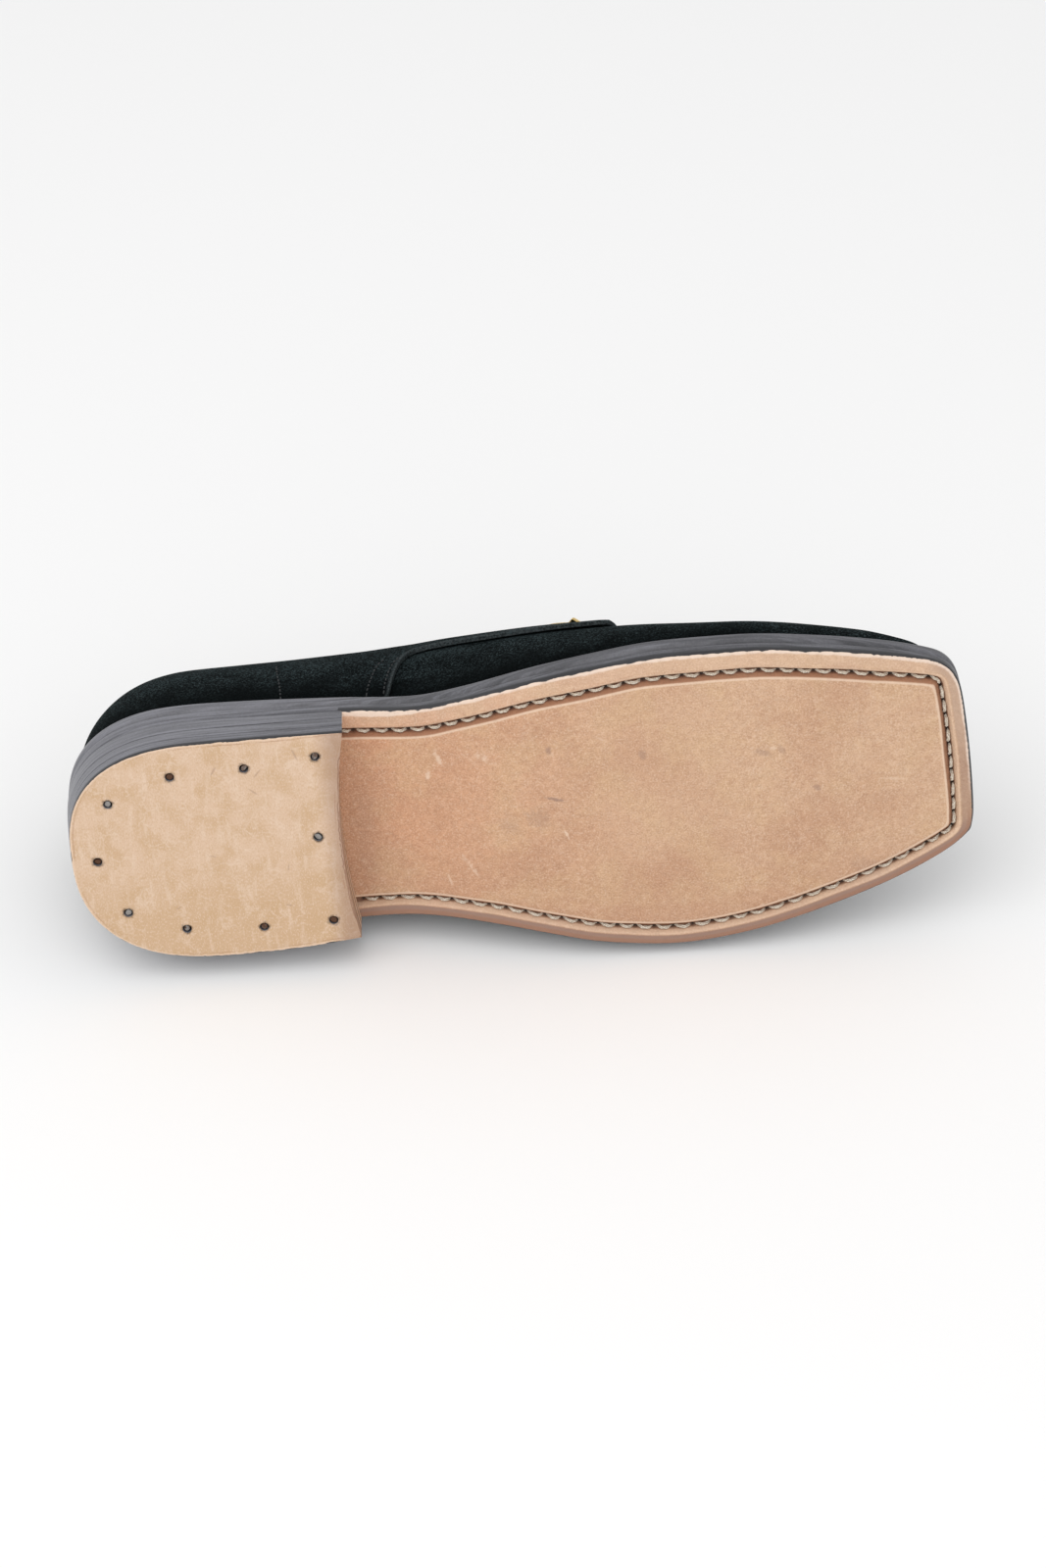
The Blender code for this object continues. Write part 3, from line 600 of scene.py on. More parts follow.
def dye_group():
    """Burnished black edge: colour, roughness and height, with streaks along the edge; the lighter streaks
    are partly burnish marks and partly painted highlight of the edge's gloss.
    """
    group, given, put = group_tree(
        "edge_dye",
        [("Place", "NodeSocketVector", None), ("Dye", "NodeSocketColor", None)],
        [("Color", "NodeSocketColor"), ("Roughness", "NodeSocketFloat"), ("Height", "NodeSocketFloat")],
    )
    place = given["Place"]
    streak = cloud(group, place, 1.0, 4.0, (0.035, 0.035, 1.1))
    fine = cloud(group, place, 1.0, 3.0, (0.16, 0.16, 4.0))
    speck = cloud(group, place, 1.4, 3.0)
    tone = calc(group, "MULTIPLY_ADD", streak, 0.75, times(group, fine, 0.35))
    tone = calc(group, "ADD", tone, times(group, speck, 0.2))
    worn = calc(group, "ADD", tone, ramp(group, axes(group, place)["X"], 150, 30, 0.0, 0.2))
    # Lighter streaks: partly burnish marks, partly painted highlight of the gloss
    dark, light = (
        add_node(group, "ShaderNodeHueSaturation", {"Value": value, "Color": given["Dye"]}).outputs[0]
        for value in (0.45, 2.1)
    )
    group.links.new(blend(group, ramp(group, worn, 0.44, 1.14), dark, light), put["Color"])
    group.links.new(ramp(group, fine, 0.3, 0.7, 0.36, 0.52), put["Roughness"])
    group.links.new(tone, put["Height"])
    return group


def nap_group():
    """Suede nap: a tone from flat to raised fibres, and a height."""
    group, given, put = group_tree(
        "suede_nap",
        [("Place", "NodeSocketVector", None)],
        [("Tone", "NodeSocketFloat"), ("Height", "NodeSocketFloat")],
    )
    place = given["Place"]
    brushed = cloud(group, place, 0.08, 4.0)
    clumps = cloud(group, place, 1.4, 5.0)
    fibre = cloud(group, place, 5.0, 3.0, (1.0, 0.6, 0.6))
    tone = calc(group, "MULTIPLY_ADD", brushed, 0.25, times(group, clumps, 1.1))
    tone = calc(group, "ADD", tone, times(group, fibre, 0.9))
    group.links.new(ramp(group, tone, 1.04, 1.54), put["Tone"])
    group.links.new(calc(group, "ADD", clumps, fibre), put["Height"])
    return group


def mark_group():
    """A frayed spot at a place, turned and spread: a mask that is 1 inside it."""
    group, given, put = group_tree(
        "mark",
        [
            ("Place", "NodeSocketVector", None),
            ("Centre", "NodeSocketVector", None),
            ("Turn", "NodeSocketVector", None),
            ("Spread", "NodeSocketVector", (1.0, 1.0, 1.0)),
            ("Fray", "NodeSocketFloat", 1.0),
        ],
        [("Mask", "NodeSocketFloat")],
    )
    ends = {
        "Vector": given["Place"],
        "Location": given["Centre"],
        "Rotation": given["Turn"],
        "Scale": given["Spread"],
    }
    local = add_node(group, "ShaderNodeMapping", ends, vector_type="TEXTURE").outputs[0]
    reach = add_node(group, "ShaderNodeVectorMath", {0: local}, operation="LENGTH").outputs["Value"]
    fray = times(group, cloud(group, given["Place"], 0.7, 4.0), given["Fray"])
    group.links.new(ramp(group, calc(group, "ADD", reach, fray), 1.25, 0.75), put["Mask"])
    return group


def shared(name):
    """A shared node group, made once."""
    makers = {
        "leather_grain": grain_group,
        "edge_dye": dye_group,
        "suede_nap": nap_group,
        "mark": mark_group,
    }
    return bpy.data.node_groups.get(name) or makers[name]()


def use(tree, name, **inputs):
    """A shared effect placed in a material."""
    return add_node(tree, "ShaderNodeGroup", inputs, node_tree=shared(name)).outputs


def new_finish(name, **constants):
    """A Principled material: the material, its tree, its shader and the place in the shoe's frame in mm."""
    finish = bpy.data.materials.new(name)
    finish.use_nodes = True
    tree = finish.node_tree
    shader = tree.nodes["Principled BSDF"]
    for label, value in constants.items():
        shader.inputs[label.replace("_", " ")].default_value = value
    return finish, tree, shader, read(tree, "shoe", "Vector")


def feed(tree, shader, **values):
    """Links values to the shader's sockets."""
    for label, value in values.items():
        tree.links.new(value, shader.inputs[label.replace("_", " ")])


def put_bump(tree, shader, height, distance):
    """A bump on the shader's normal, distance in millimetres."""
    bump = add_node(tree, "ShaderNodeBump", {"Height": height, "Distance": distance * MM, "Strength": 1.0})
    feed(tree, shader, Normal=bump.outputs[0])


def put_dye(tree, shader, place, base, black, line, rough, height, depth):
    """Lays the black edge colour, greyed by painted sheen, over a leather's colour, roughness and bump where
    black is 1, darker by line.
    """
    dye_and_sheen = use(tree, "edge_dye", Place=place, Dye=colour("dye_and_sheen"))
    edge = blend(tree, line, dye_and_sheen["Color"], EDGE_LINE)
    feed(tree, shader, Base_Color=blend(tree, black, base, edge))
    feed(tree, shader, Roughness=between(tree, black, rough, dye_and_sheen["Roughness"]))
    put_bump(tree, shader, between(tree, black, height, dye_and_sheen["Height"]), depth)


# In the finishes below, places and distances are in mm in the shoe's frame, and other limits are noise
# values or masks. A mark is a frayed spot on the sole: its middle, how far it spreads along and across
# itself, its turn in degrees and its strength.
Mark = namedtuple("Mark", "x y long wide turn share")
MARK_DEEP = 1000.0


def marked(tree, place, base, tint, marks, fray=1.0):
    """A colour with frayed spots of a tint on it."""
    for mark in marks:
        mask = use(
            tree,
            "mark",
            Place=place,
            Centre=(mark.x, mark.y, 0.0),
            Turn=(0.0, 0.0, math.radians(mark.turn)),
            Spread=(mark.long, mark.wide, MARK_DEEP),
            Fray=fray,
        )["Mask"]
        base = blend(tree, times(tree, mask, mark.share), base, tint)
    return base


PALE_SCUFFS = [
    Mark(121.0, -24.0, 7.0, 2.2, 70, 0.7),
    Mark(117.5, -17.0, 4.0, 1.6, 110, 0.8),
    Mark(136.0, -24.0, 6.0, 2.6, 20, 0.5),
    Mark(129.0, 16.0, 9.0, 1.6, 60, 0.5),
    Mark(122.0, 22.0, 7.0, 1.4, 75, 0.5),
    Mark(161.0, 4.0, 5.0, 1.0, 65, 0.7),
    Mark(229.0, -22.0, 4.0, 1.6, 10, 0.5),
    Mark(268.0, -6.0, 10.0, 1.3, 8, 0.4),
    Mark(174.0, -30.0, 5.0, 1.2, 30, 0.4),
    Mark(283.0, -30.0, 3.0, 3.0, 0, 0.4),
]
# Greyish marks on the tread: dirt, and one painted shadow of the heel's breast
DIRT_AND_SHADOW_MARKS = [
    Mark(158.0, -9.0, 6.0, 1.1, 12, 0.75),
    Mark(152.0, -2.0, 8.0, 6.0, 30, 0.28),
    Mark(143.0, 0.0, 7.0, 6.0, 80, 0.2),
    Mark(187.0, -23.4, 4.0, 2.2, 80, 0.4),
    Mark(226.0, -20.5, 5.5, 2.2, 20, 0.4),
    Mark(232.0, -21.0, 3.5, 1.8, 60, 0.35),
    Mark(157.0, -27.0, 2.6, 2.0, 90, 0.6),
    Mark(243.0, -6.0, 2.4, 1.6, 40, 0.5),
    # Painted shadow of the heel's breast lying across the tread
    Mark(96.0, 4.0, 6.0, 40.0, 0, 0.1),
    Mark(262.0, 28.0, 20.0, 6.0, 35, 0.22),
]


def tread_patches(tree, place, spot, grain):
    """The sole leather's own colour: redder by the heel and outside, with patches, pebbles and specks."""
    flush = ramp(tree, cloud(tree, place, 0.035, 5.0), 0.40, 0.66)
    outer = ramp(tree, calc(tree, "MULTIPLY_ADD", flush, 14.0, spot["Y"]), 2, 40)
    dapple = cloud(tree, place, 0.3, 6.0)
    specks = cloud(tree, place, 1.75, 2.0)
    return layered(
        tree,
        colour("tread_waist"),
        [
            (ramp(tree, spot["X"], 86, 215), "tread"),
            (times(tree, flush, 0.5), "tread_flush"),
            (times(tree, outer, 0.68), "tread_flush"),
            (ramp(tree, cloud(tree, place, 0.06, 4.0), 0.44, 0.66, 0.0, 0.4), "tread_ochre"),
            (ramp(tree, dapple, 0.5, 0.8, 0.0, 0.16), "pale"),
            (ramp(tree, dapple, 0.48, 0.25, 0.0, 0.3), "tread_flush"),
            (times(tree, grain["Crease"], 0.2), "channel"),
            (times(tree, grain["Vein"], 0.14), "pale"),
            (ramp(tree, specks, 0.5, 0.72, 0.0, 0.42), "pale"),
            (ramp(tree, specks, 0.5, 0.28, 0.0, 0.34), "channel"),
        ],
    )


def channel_shades(tree, base, groove, inner_side):
    """Painted shade on the channel's panel-side wall and floor, the floor's shade lighter on the outer side;
    painted light on its margin-side wall and painted highlight along its lips.
    """
    # Painted shade on the panel-side wall; painted light on the margin-side wall, which faces the light
    panel_wall_shade = times(tree, ramp(tree, groove, 0.2, 0.9), ramp(tree, groove, 2.2, 1.7))
    lit_margin_wall = times(tree, ramp(tree, groove, -0.5, -1.1), ramp(tree, groove, -2.6, -1.9))
    # Painted shade on the channel floor, lighter on the outer side
    depth = ramp(tree, calc(tree, "ABSOLUTE", groove), 1.1, 0.6)
    floor = times(tree, depth, calc(tree, "MULTIPLY_ADD", inner_side, 0.35, 0.55))
    return layered(
        tree,
        base,
        [
            (times(tree, panel_wall_shade, 0.85), "channel"),
            (times(tree, lit_margin_wall, 0.45), "pale"),
            (floor, "channel_floor"),
            # Painted highlight along the raised lips
            (ramp(tree, away(tree, groove, LIP_REACH), 0.6, 0.15, 0.0, 0.7), "pale"),
        ],
    )


def tread_finish():
    """Natural sole leather with its cut channel, and black dye along its edge."""
    finish, tree, shader, place = new_finish("tread_leather_finish", Specular_IOR_Level=0.35)
    spot = axes(tree, place)
    rim, groove = read(tree, "rim"), read(tree, "groove")
    inner_side = ramp(tree, spot["Y"], 8, -12)
    grain = use(tree, "leather_grain", Place=place, Size=1.35)
    base = tread_patches(tree, place, spot, grain)
    margin = ramp(tree, groove, -2.0, -3.0)
    # Painted shade on the outer margin, which curves away from the light, and darker at the toe tip
    outer_shade_and_toe_tip = calc(
        tree, "MAXIMUM", ramp(tree, spot["Y"], 2, 18), ramp(tree, spot["X"], 278, 285, 0.0, 0.6)
    )
    inner_wear = ramp(tree, spot["Y"], -6, -24, 0.0, 0.25)
    # Painted shade along the outer edge, where the sole turns away from the light
    outer_rim_shade = times(tree, ramp(tree, rim, 1.8, 1.1), ramp(tree, spot["Y"], 4, 18, 0.0, 0.5))
    base = layered(
        tree,
        base,
        [
            (times(tree, margin, outer_shade_and_toe_tip), "smudge_and_shade"),
            (times(tree, margin, inner_wear), "pale"),
            (outer_rim_shade, "channel"),
        ],
    )
    base = marked(tree, place, base, colour("smudge_and_shade"), DIRT_AND_SHADOW_MARKS)
    base = marked(tree, place, base, colour("pale"), PALE_SCUFFS, 1.4)
    base = channel_shades(tree, base, groove, inner_side)
    base = blend(tree, read(tree, "pit"), base, HOLE_SHADE)
    # Pale pink along the inner edge: torn rim leather together with painted highlight where the rounded edge
    # catches the light
    torn_rim_and_highlight = times(tree, ramp(tree, spot["X"], 118, 106, 1.2, 2.4), cloud(tree, place, 0.12, 4.0))
    torn_rim_and_highlight = ramp(tree, calc(tree, "SUBTRACT", rim, torn_rim_and_highlight), 0.35, -0.35)
    base = layered(tree, base, [(times(tree, times(tree, torn_rim_and_highlight, inner_side), 0.8), "raw_and_highlight")])
    bleed = calc(tree, "MULTIPLY_ADD", cloud(tree, place, 0.11, 3.0), 1.0, -1.3)
    bleed = calc(tree, "MULTIPLY_ADD", cloud(tree, place, 0.5, 3.0), 0.45, bleed)
    bleed = calc(tree, "ADD", bleed, ramp(tree, spot["X"], 284, 291, 0.0, 0.5))
    black = ramp(tree, calc(tree, "SUBTRACT", rim, bleed), 0.12, -0.12)
    line = ramp(tree, rim, -2.9, -1.7, 0.0, 0.85)
    put_dye(tree, shader, place, base, black, line, 0.62, grain["Height"], 0.07)
    return finish


LIFT_STAINS = [
    Mark(82.0, -25.0, 4.0, 2.6, 0, 0.6),
    Mark(81.0, -20.5, 4.5, 2.0, 10, 0.55),
    Mark(77.0, -12.0, 8.0, 6.0, 40, 0.3),
    Mark(45.0, -10.0, 16.0, 10.0, 20, 0.3),
    Mark(40.0, 16.0, 18.0, 9.0, -15, 0.35),
    Mark(66.0, 14.0, 10.0, 9.0, 0, 0.28),
    Mark(84.0, 8.0, 18.0, 4.0, 90, 0.35),
    Mark(26.0, 0.0, 12.0, 9.0, 60, 0.25),
]
LIFT_HAIRS = [
    Mark(75.5, -32.8, 3.0, 0.5, 70, 0.4),
    Mark(61.1, -20.5, 2.2, 0.45, 40, 0.4),
    Mark(63.0, -27.0, 2.5, 0.4, -50, 0.35),
    Mark(46.0, 2.0, 1.6, 0.4, 20, 0.3),
    Mark(70.0, 8.0, 1.8, 0.4, 100, 0.3),
    Mark(33.0, 20.0, 1.6, 0.4, -30, 0.3),
    Mark(49.0, -29.0, 2.4, 0.5, 120, 0.4),
    Mark(69.0, 22.0, 1.4, 0.5, 15, 0.35),
]


def nail_spots():
    """Middles of the heel's nails in the shoe's frame, in the order of their nodes."""
    names = sorted(name for name in frame["nodes"] if name.startswith("heel_nail_"))
    return {name: TO_SHOE @ (sum(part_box(name), Vector()) / 2) for name in names}


def joint_lines(tree):
    """A mask of the dark lines where one layer of the heel meets the next."""
    return ramp(tree, read(tree, "joint"), 1.0, 0.4, 0.0, 0.9)


def lift_finish():
    """Bare, fibrous heel leather, black along its edge and darkened round the nails by painted shade of their
    holes.
    """
    finish, tree, shader, place = new_finish("lift_leather_finish", Specular_IOR_Level=0.3)
    spot = axes(tree, place)
    rim, natural = read(tree, "rim"), read(tree, "natural")
    blotch = ramp(tree, cloud(tree, place, 0.11, 5.0), 0.42, 0.66, 0.0, 0.75)
    outer = ramp(tree, spot["Y"], 0, 26, 0.0, 0.75)
    base = layered(tree, colour("lift"), [(blotch, "lift_stain"), (outer, "lift_stain")])
    base = marked(tree, place, base, colour("lift_stain"), LIFT_STAINS, 1.4)
    streak = ramp(tree, cloud(tree, place, 0.42, 4.0, (1.0, 0.22, 1.0)), 0.5, 0.72, 0.0, 0.5)
    net = cell_lines(tree, warped(tree, place, 0.2, 8.0), 0.15, 0.09)
    net = times(tree, net, ramp(tree, cloud(tree, place, 0.1, 3.0), 0.4, 0.65, 0.0, 0.5))
    fibre = cloud(tree, place, 1.7, 2.0, (1.3, 0.7, 1.0))
    base = layered(
        tree,
        base,
        [
            (streak, "lift_pale"),
            (net, "lift_pale"),
            (ramp(tree, fibre, 0.5, 0.72, 0.0, 0.55), "lift_stain"),
            (ramp(tree, fibre, 0.5, 0.28, 0.0, 0.6), "lift_pale"),
        ],
    )
    base = marked(tree, place, base, colour("smudge_and_shade"), LIFT_HAIRS, 0.6)
    dashes = ramp(tree, cloud(tree, place, 0.05, 3.0), 0.42, 0.62, 0.0, 0.45)
    inner_line = times(tree, ramp(tree, away(tree, rim, 1.25), 0.26, 0.05), dashes)
    breast = ramp(tree, spot["X"], 80, 86)
    pale_rim = ramp(tree, rim, 0.9, 0.5, 0.0, 0.75)
    breast_line = ramp(tree, away(tree, rim, 0.2), 0.35, 0.1, 0.0, 0.6)
    base = layered(
        tree,
        base,
        [
            # Darker towards the breast
            (ramp(tree, spot["X"], 80, 89, 0.0, 0.6), "smudge_and_shade"),
            (inner_line, "channel"),
            (times(tree, pale_rim, calc(tree, "SUBTRACT", 1.0, breast)), "pale"),
            (times(tree, breast_line, breast), "channel_floor"),
            (times(tree, natural, joint_lines(tree)), "channel_floor"),
        ],
    )
    # Painted shade in the gap round each nail head
    hole_shade_rings = [Mark(at.x / MM, at.y / MM, 2.75, 2.75, 0, 0.95) for at in nail_spots().values()]
    base = marked(tree, place, base, NAIL_HOLE_SHADE, hole_shade_rings, 0.75)
    bleed = calc(tree, "MULTIPLY_ADD", cloud(tree, place, 0.3, 3.0), 0.5, 0.05)
    black = ramp(tree, calc(tree, "SUBTRACT", rim, bleed), 0.08, -0.08)
    black = times(tree, black, calc(tree, "SUBTRACT", 1.0, natural))
    line = ramp(tree, rim, -2.3, -1.2, 0.0, 0.92)
    put_dye(tree, shader, place, base, black, line, 0.74, fibre, 0.1)
    return finish


def edge_finish():
    """Black-dyed sole and heel edges, with the breast of the heel left natural."""
    finish, tree, shader, place = new_finish("black_edge_finish", Specular_IOR_Level=0.5)
    natural = read(tree, "natural")
    stains = ramp(tree, cloud(tree, place, 0.5, 4.0), 0.4, 0.7)
    lines = ramp(tree, cloud(tree, place, 1.0, 2.0, (0.1, 0.1, 3.0)), 0.5, 0.66, 0.0, 0.7)
    layers = [(stains, "lift_stain"), (lines, "channel"), (joint_lines(tree), "channel_floor")]
    bare = layered(tree, colour("lift"), layers)
    dye_and_sheen = use(tree, "edge_dye", Place=place, Dye=colour("dye_and_sheen"))
    feed(tree, shader, Base_Color=blend(tree, natural, dye_and_sheen["Color"], bare))
    feed(tree, shader, Roughness=between(tree, natural, dye_and_sheen["Roughness"], 0.7))
    put_bump(tree, shader, dye_and_sheen["Height"], 0.06)
    return finish


def suede_finish():
    """Black suede with a brushed nap, paler up the walls as painted sheen of light grazing the upper and
    darker by the sole, and greyer along its cut edges.
    """
    finish, tree, shader, place = new_finish(
        "black_suede_finish",
        Roughness=0.92,
        Specular_IOR_Level=0.02,
        Sheen_Weight=0.02,
        Sheen_Roughness=0.3,
        Sheen_Tint=(0.5, 0.72, 0.76, 1.0),
    )
    nap = use(tree, "suede_nap", Place=place)
    spot = axes(tree, place)
    # Nap paler higher up the wall and towards the toe, darker by the sole: painted sheen where light grazes
    # the upper
    above_sole = calc(tree, "SUBTRACT", spot["Z"], ramp(tree, spot["X"], 60, 190, 26.0, 11.0))
    sheen_rise = calc(tree, "ADD", above_sole, ramp(tree, spot["X"], 200, 265, 0.0, 9.0))
    sheen_rise = calc(tree, "MULTIPLY_ADD", cloud(tree, place, 0.12, 4.0), 16.0, sheen_rise)
    nap_and_sheen = times(tree, nap["Tone"], ramp(tree, sheen_rise, 12, 36, 0.15, 1.6))
    base = layered(tree, colour("suede"), [(nap_and_sheen, "nap")])
    cut = ramp(tree, read(tree, "cut"), 1.5, 0.2)
    fray = times(tree, cut, ramp(tree, cloud(tree, place, 1.6, 4.0), 0.35, 0.65, 0.25, 0.9))
    feed(tree, shader, Base_Color=blend(tree, fray, base, FRAYED_SUEDE))
    put_bump(tree, shader, nap["Height"], 0.16)
    return finish


def lining_finish():
    """Smooth undyed lining leather."""
    finish, tree, shader, place = new_finish("lining_leather_finish", Specular_IOR_Level=0.35)
    grain = use(tree, "leather_grain", Place=place, Size=1.3)
    patch = ramp(tree, cloud(tree, place, 0.05, 4.0), 0.35, 0.7, 0.0, 0.6)
    layers = [(patch, "lift_stain"), (times(tree, grain["Crease"], 0.2), "channel")]
    feed(tree, shader, Base_Color=layered(tree, colour("lining"), layers))
    feed(tree, shader, Roughness=ramp(tree, patch, 0.0, 0.6, 0.5, 0.66))
    put_bump(tree, shader, grain["Height"], 0.05)
    return finish


def thread_finish(name, tint, shade):
    """Waxed thread with fibres along it."""
    finish, tree, shader, place = new_finish(name, Roughness=0.7, Specular_IOR_Level=0.3)
    fibre = cloud(tree, place, 3.0, 3.0)
    base = blend(tree, ramp(tree, fibre, 0.35, 0.7), shade, tint)
    feed(tree, shader, Base_Color=base)
    put_bump(tree, shader, fibre, 0.08)
    return finish


def brass_finish():
    """Polished cast brass with a little tarnish."""
    finish, tree, shader, place = new_finish("brass_finish", Metallic=1.0)
    dull = ramp(tree, cloud(tree, place, 0.35, 5.0), 0.45, 0.75)
    base = blend(tree, times(tree, dull, 0.5), colour("brass"), TARNISH)
    feed(tree, shader, Base_Color=base)
    feed(tree, shader, Roughness=ramp(tree, dull, 0.0, 1.0, 0.16, 0.36))
    put_bump(tree, shader, cloud(tree, place, 1.4, 3.0), 0.025)
    return finish


def iron_finish():
    """Hammered iron nails, some grey and some rusty."""
    finish, tree, shader, place = new_finish("iron_finish", Metallic=0.55)
    spots = calc(tree, "MULTIPLY_ADD", cloud(tree, place, 1.3, 3.0), 0.8, -0.4)
    rust = calc(tree, "ADD", read(tree, "rust"), spots)
    base = layered(tree, colour("iron"), [(ramp(tree, rust, 0.3, 0.7), "rust")])
    feed(tree, shader, Base_Color=base)
    feed(tree, shader, Roughness=ramp(tree, rust, 0.3, 0.7, 0.42, 0.8))
    put_bump(tree, shader, cloud(tree, place, 2.0, 3.0), 0.12)
    return finish


def finish_of(slot):
    """The material of a slot, made once."""
    makers = {
        "tread_leather": tread_finish,
        "lift_leather": lift_finish,
        "black_edge": edge_finish,
        "black_suede": suede_finish,
        "lining_leather": lining_finish,
        "brass": brass_finish,
        "iron": iron_finish,
    }
    return bpy.data.materials.get(slot + "_finish") or makers[slot]()


def rim_field(shape, loop, bare_from=-1.0):
    """Writes how far each vertex lies in from the tread's edge, a left-turning loop, in mm.

    It is negative past the edge, and FAR past it along the covered edge behind bare_from.
    """
    layer = field(shape, "rim")
    line = curve_through(loop, EDGE_STEP, closed=True)
    edge = tree_of(line)
    for vert in shape.verts:
        near, i, gap = edge.find(vert.co)
        ahead = line[(i + 1) % len(line)] - line[i - 1]
        inside = vert.normal.z < FACES_DOWN and left_of(ahead).dot(vert.co - near) > 0
        vert[layer] = min(gap / MM, FAR) * (1 if inside else -1)
        if vert.co.x < bare_from and gap < COVER_REACH:
            vert[layer] = -FAR


class SHOE_OT_outsole(bpy.types.Operator):
    """Make the tread, with its lipped channel, awl holes and dyed edge"""

    bl_idname = "shoe.outsole"
    bl_label = "Outsole"

    panel_row = 2.0
    margin_row = 7.0

    def execute(self, context):
        cage = node_copy("outsole")
        trail = channel_trail(cage)
        edge_loop = border_loops(undersides(cage)[MARGIN])[0]
        cage.free()
        shape = dressed("outsole", TREAD_LEVELS)
        rim_field(shape, edge_loop, BARE_FROM)
        self.work_channel(shape, trail, context.scene.shoe_sewing.sole_pitch)
        add_piece(shape, "outsole_leather", "tread_leather", ["outsole"])
        return {"FINISHED"}

    def work_channel(self, shape, trail, pitch):
        """Raises the channel's lips, lets them wander and pricks the awl holes into its floor."""
        groove, pit = field(shape, "groove"), field(shape, "pit")
        lengths = trail_lengths(trail)
        marks = tree_of([Vector((mark, 0, 0)) for mark in stitch_marks(trail, lengths, pitch)])
        search = tree_of(trail)
        for vert in shape.verts:
            vert[groove] = FAR
            if vert.normal.z > FACES_SIDEWAYS or vert.co.x < CHANNEL_START:
                continue
            near, i, _ = search.find(vert.co)
            ahead = trail[min(i + 2, len(trail) - 1)] - trail[max(i - 2, 0)]
            inward = left_of(ahead)
            offset = vert.co - near
            across = offset.dot(inward) / MM
            flat = Vector((offset.x, offset.y, 0.0)).length / MM
            across = math.copysign(min(flat, FAR), across)
            vert[groove] = across
            if abs(across) > CHANNEL_REACH:
                continue
            spot = lengths[i] + offset.dot(ahead.normalized())
            row = self.panel_row if across > 0 else self.margin_row
            wander = noise.noise(Vector((spot / MM * LIP_WANDER_PITCH, row, 0.0)))
            grip = math.exp(-((abs(across) - LIP_REACH) / LIP_WANDER_WIDE) ** 2)
            vert.co += inward * wander * LIP_WANDER * grip * MM
            bead = math.exp(-((abs(across) - LIP_REACH) / LIP_BEAD_WIDE) ** 2)
            vert.co.z -= bead * LIP_BEAD * (1.0 + LIP_BEAD_UNEVEN * wander) * MM
            vert.co.z += FLOOR_SINK * math.exp(-((across / FLOOR_WIDE) ** 4)) * MM
            step = marks.find(Vector((spot, 0, 0)))[2] / MM
            hole = math.exp(-((step / PIT_LONG) ** 4) - (across / PIT_WIDE) ** 4)
            vert[pit] = hole
            vert.co.z += hole * PIT_DEPTH * MM


def eased(share):
    """A smooth rise from 0 to 1."""
    share = min(max(share, 0.0), 1.0)
    return share * share * (3 - 2 * share)


def rope_mesh(name, strands, radius):
    """A mesh of round strands along lists of points."""
    curve = bpy.data.curves.new(name, "CURVE")
    curve.dimensions = "3D"
    curve.bevel_depth = radius
    curve.bevel_resolution = THREAD_ROUNDNESS
    curve.use_fill_caps = True
    for strand in strands:
        spline = curve.splines.new("POLY")
        spline.points.add(len(strand) - 1)
        for point, place in zip(spline.points, strand):
            point.co = (*place, 1.0)
    rope = bpy.data.objects.new(name, curve)
    bpy.context.scene.collection.objects.link(rope)
    mesh = bpy.data.meshes.new_from_object(rope.evaluated_get(bpy.context.evaluated_depsgraph_get()))
    bpy.data.objects.remove(rope)
    bpy.data.curves.remove(curve)
    shape = bmesh.new()
    shape.from_mesh(mesh)
    bpy.data.meshes.remove(mesh)
    return shape


class SHOE_OT_sole_thread(bpy.types.Operator):
    """Lay the twisted thread in the channel, stitch by stitch"""

    bl_idname = "shoe.sole_thread"
    bl_label = "Sole thread"

    # Twist, rise, drop and lean are in mm, and dive is a share of the stitch
    plies = 3
    twist = 6.5
    dive = 0.36
    rise = 0.05
    drop = 2.6
    swell = (0.9, 1.1)
    lean = (0.3, 0.7)
    apart = 1.05
    fewest = 4
    every = 2

    def execute(self, context):
        sewing = context.scene.shoe_sewing
        cage = node_copy("outsole")
        trail = channel_trail(cage)
        cage.free()
        lengths = trail_lengths(trail)
        marks = stitch_marks(trail, lengths, sewing.sole_pitch)
        draw = random.Random(THREAD_SEED)
        strands = []
        for start, end in zip(marks, marks[1:]):
            run = [i for i, length in enumerate(lengths) if start <= length <= end][:: self.every]
            if len(run) < self.fewest:
                continue
            swell, lean = draw.uniform(*self.swell), draw.uniform(*self.lean) * MM
            turn = draw.uniform(0, 2 * math.pi)
            for k in range(self.plies):
                strand = []
                for i in run:
                    share = (lengths[i] - start) / (end - start)
                    turns = k / self.plies + share * sewing.sole_pitch / self.twist / MM
                    middle, aside = self.ply_place(trail, i, share, lean, turn + 2 * math.pi * turns)
                    strand.append(middle + aside * sewing.sole_ply * self.apart * swell)
                strands.append(strand)
        shape = rope_mesh("sole_thread", strands, sewing.sole_ply)
        finish = thread_finish("sole_thread_finish", colour("thread"), THREAD_SHADE)
        add_piece(shape, "sole_thread", None, finishes=[finish])
        return {"FINISHED"}

    def ply_place(self, trail, i, share, lean, angle):
        """The thread's middle at a share of a stitch, and the way out from it to a ply at an angle."""
        ahead = (trail[min(i + 1, len(trail) - 1)] - trail[max(i - 1, 0)]).normalized()
        inward = left_of(ahead)
        arch = eased(share / self.dive) * eased((1 - share) / self.dive)
        lift = (self.rise + self.drop * (arch - 1)) * MM
        middle = trail[i] + Vector((0, 0, -lift)) + inward * lean * (share - 0.5)
        return middle, Vector((0, 0, -1)) * math.cos(angle) + inward * math.sin(angle)


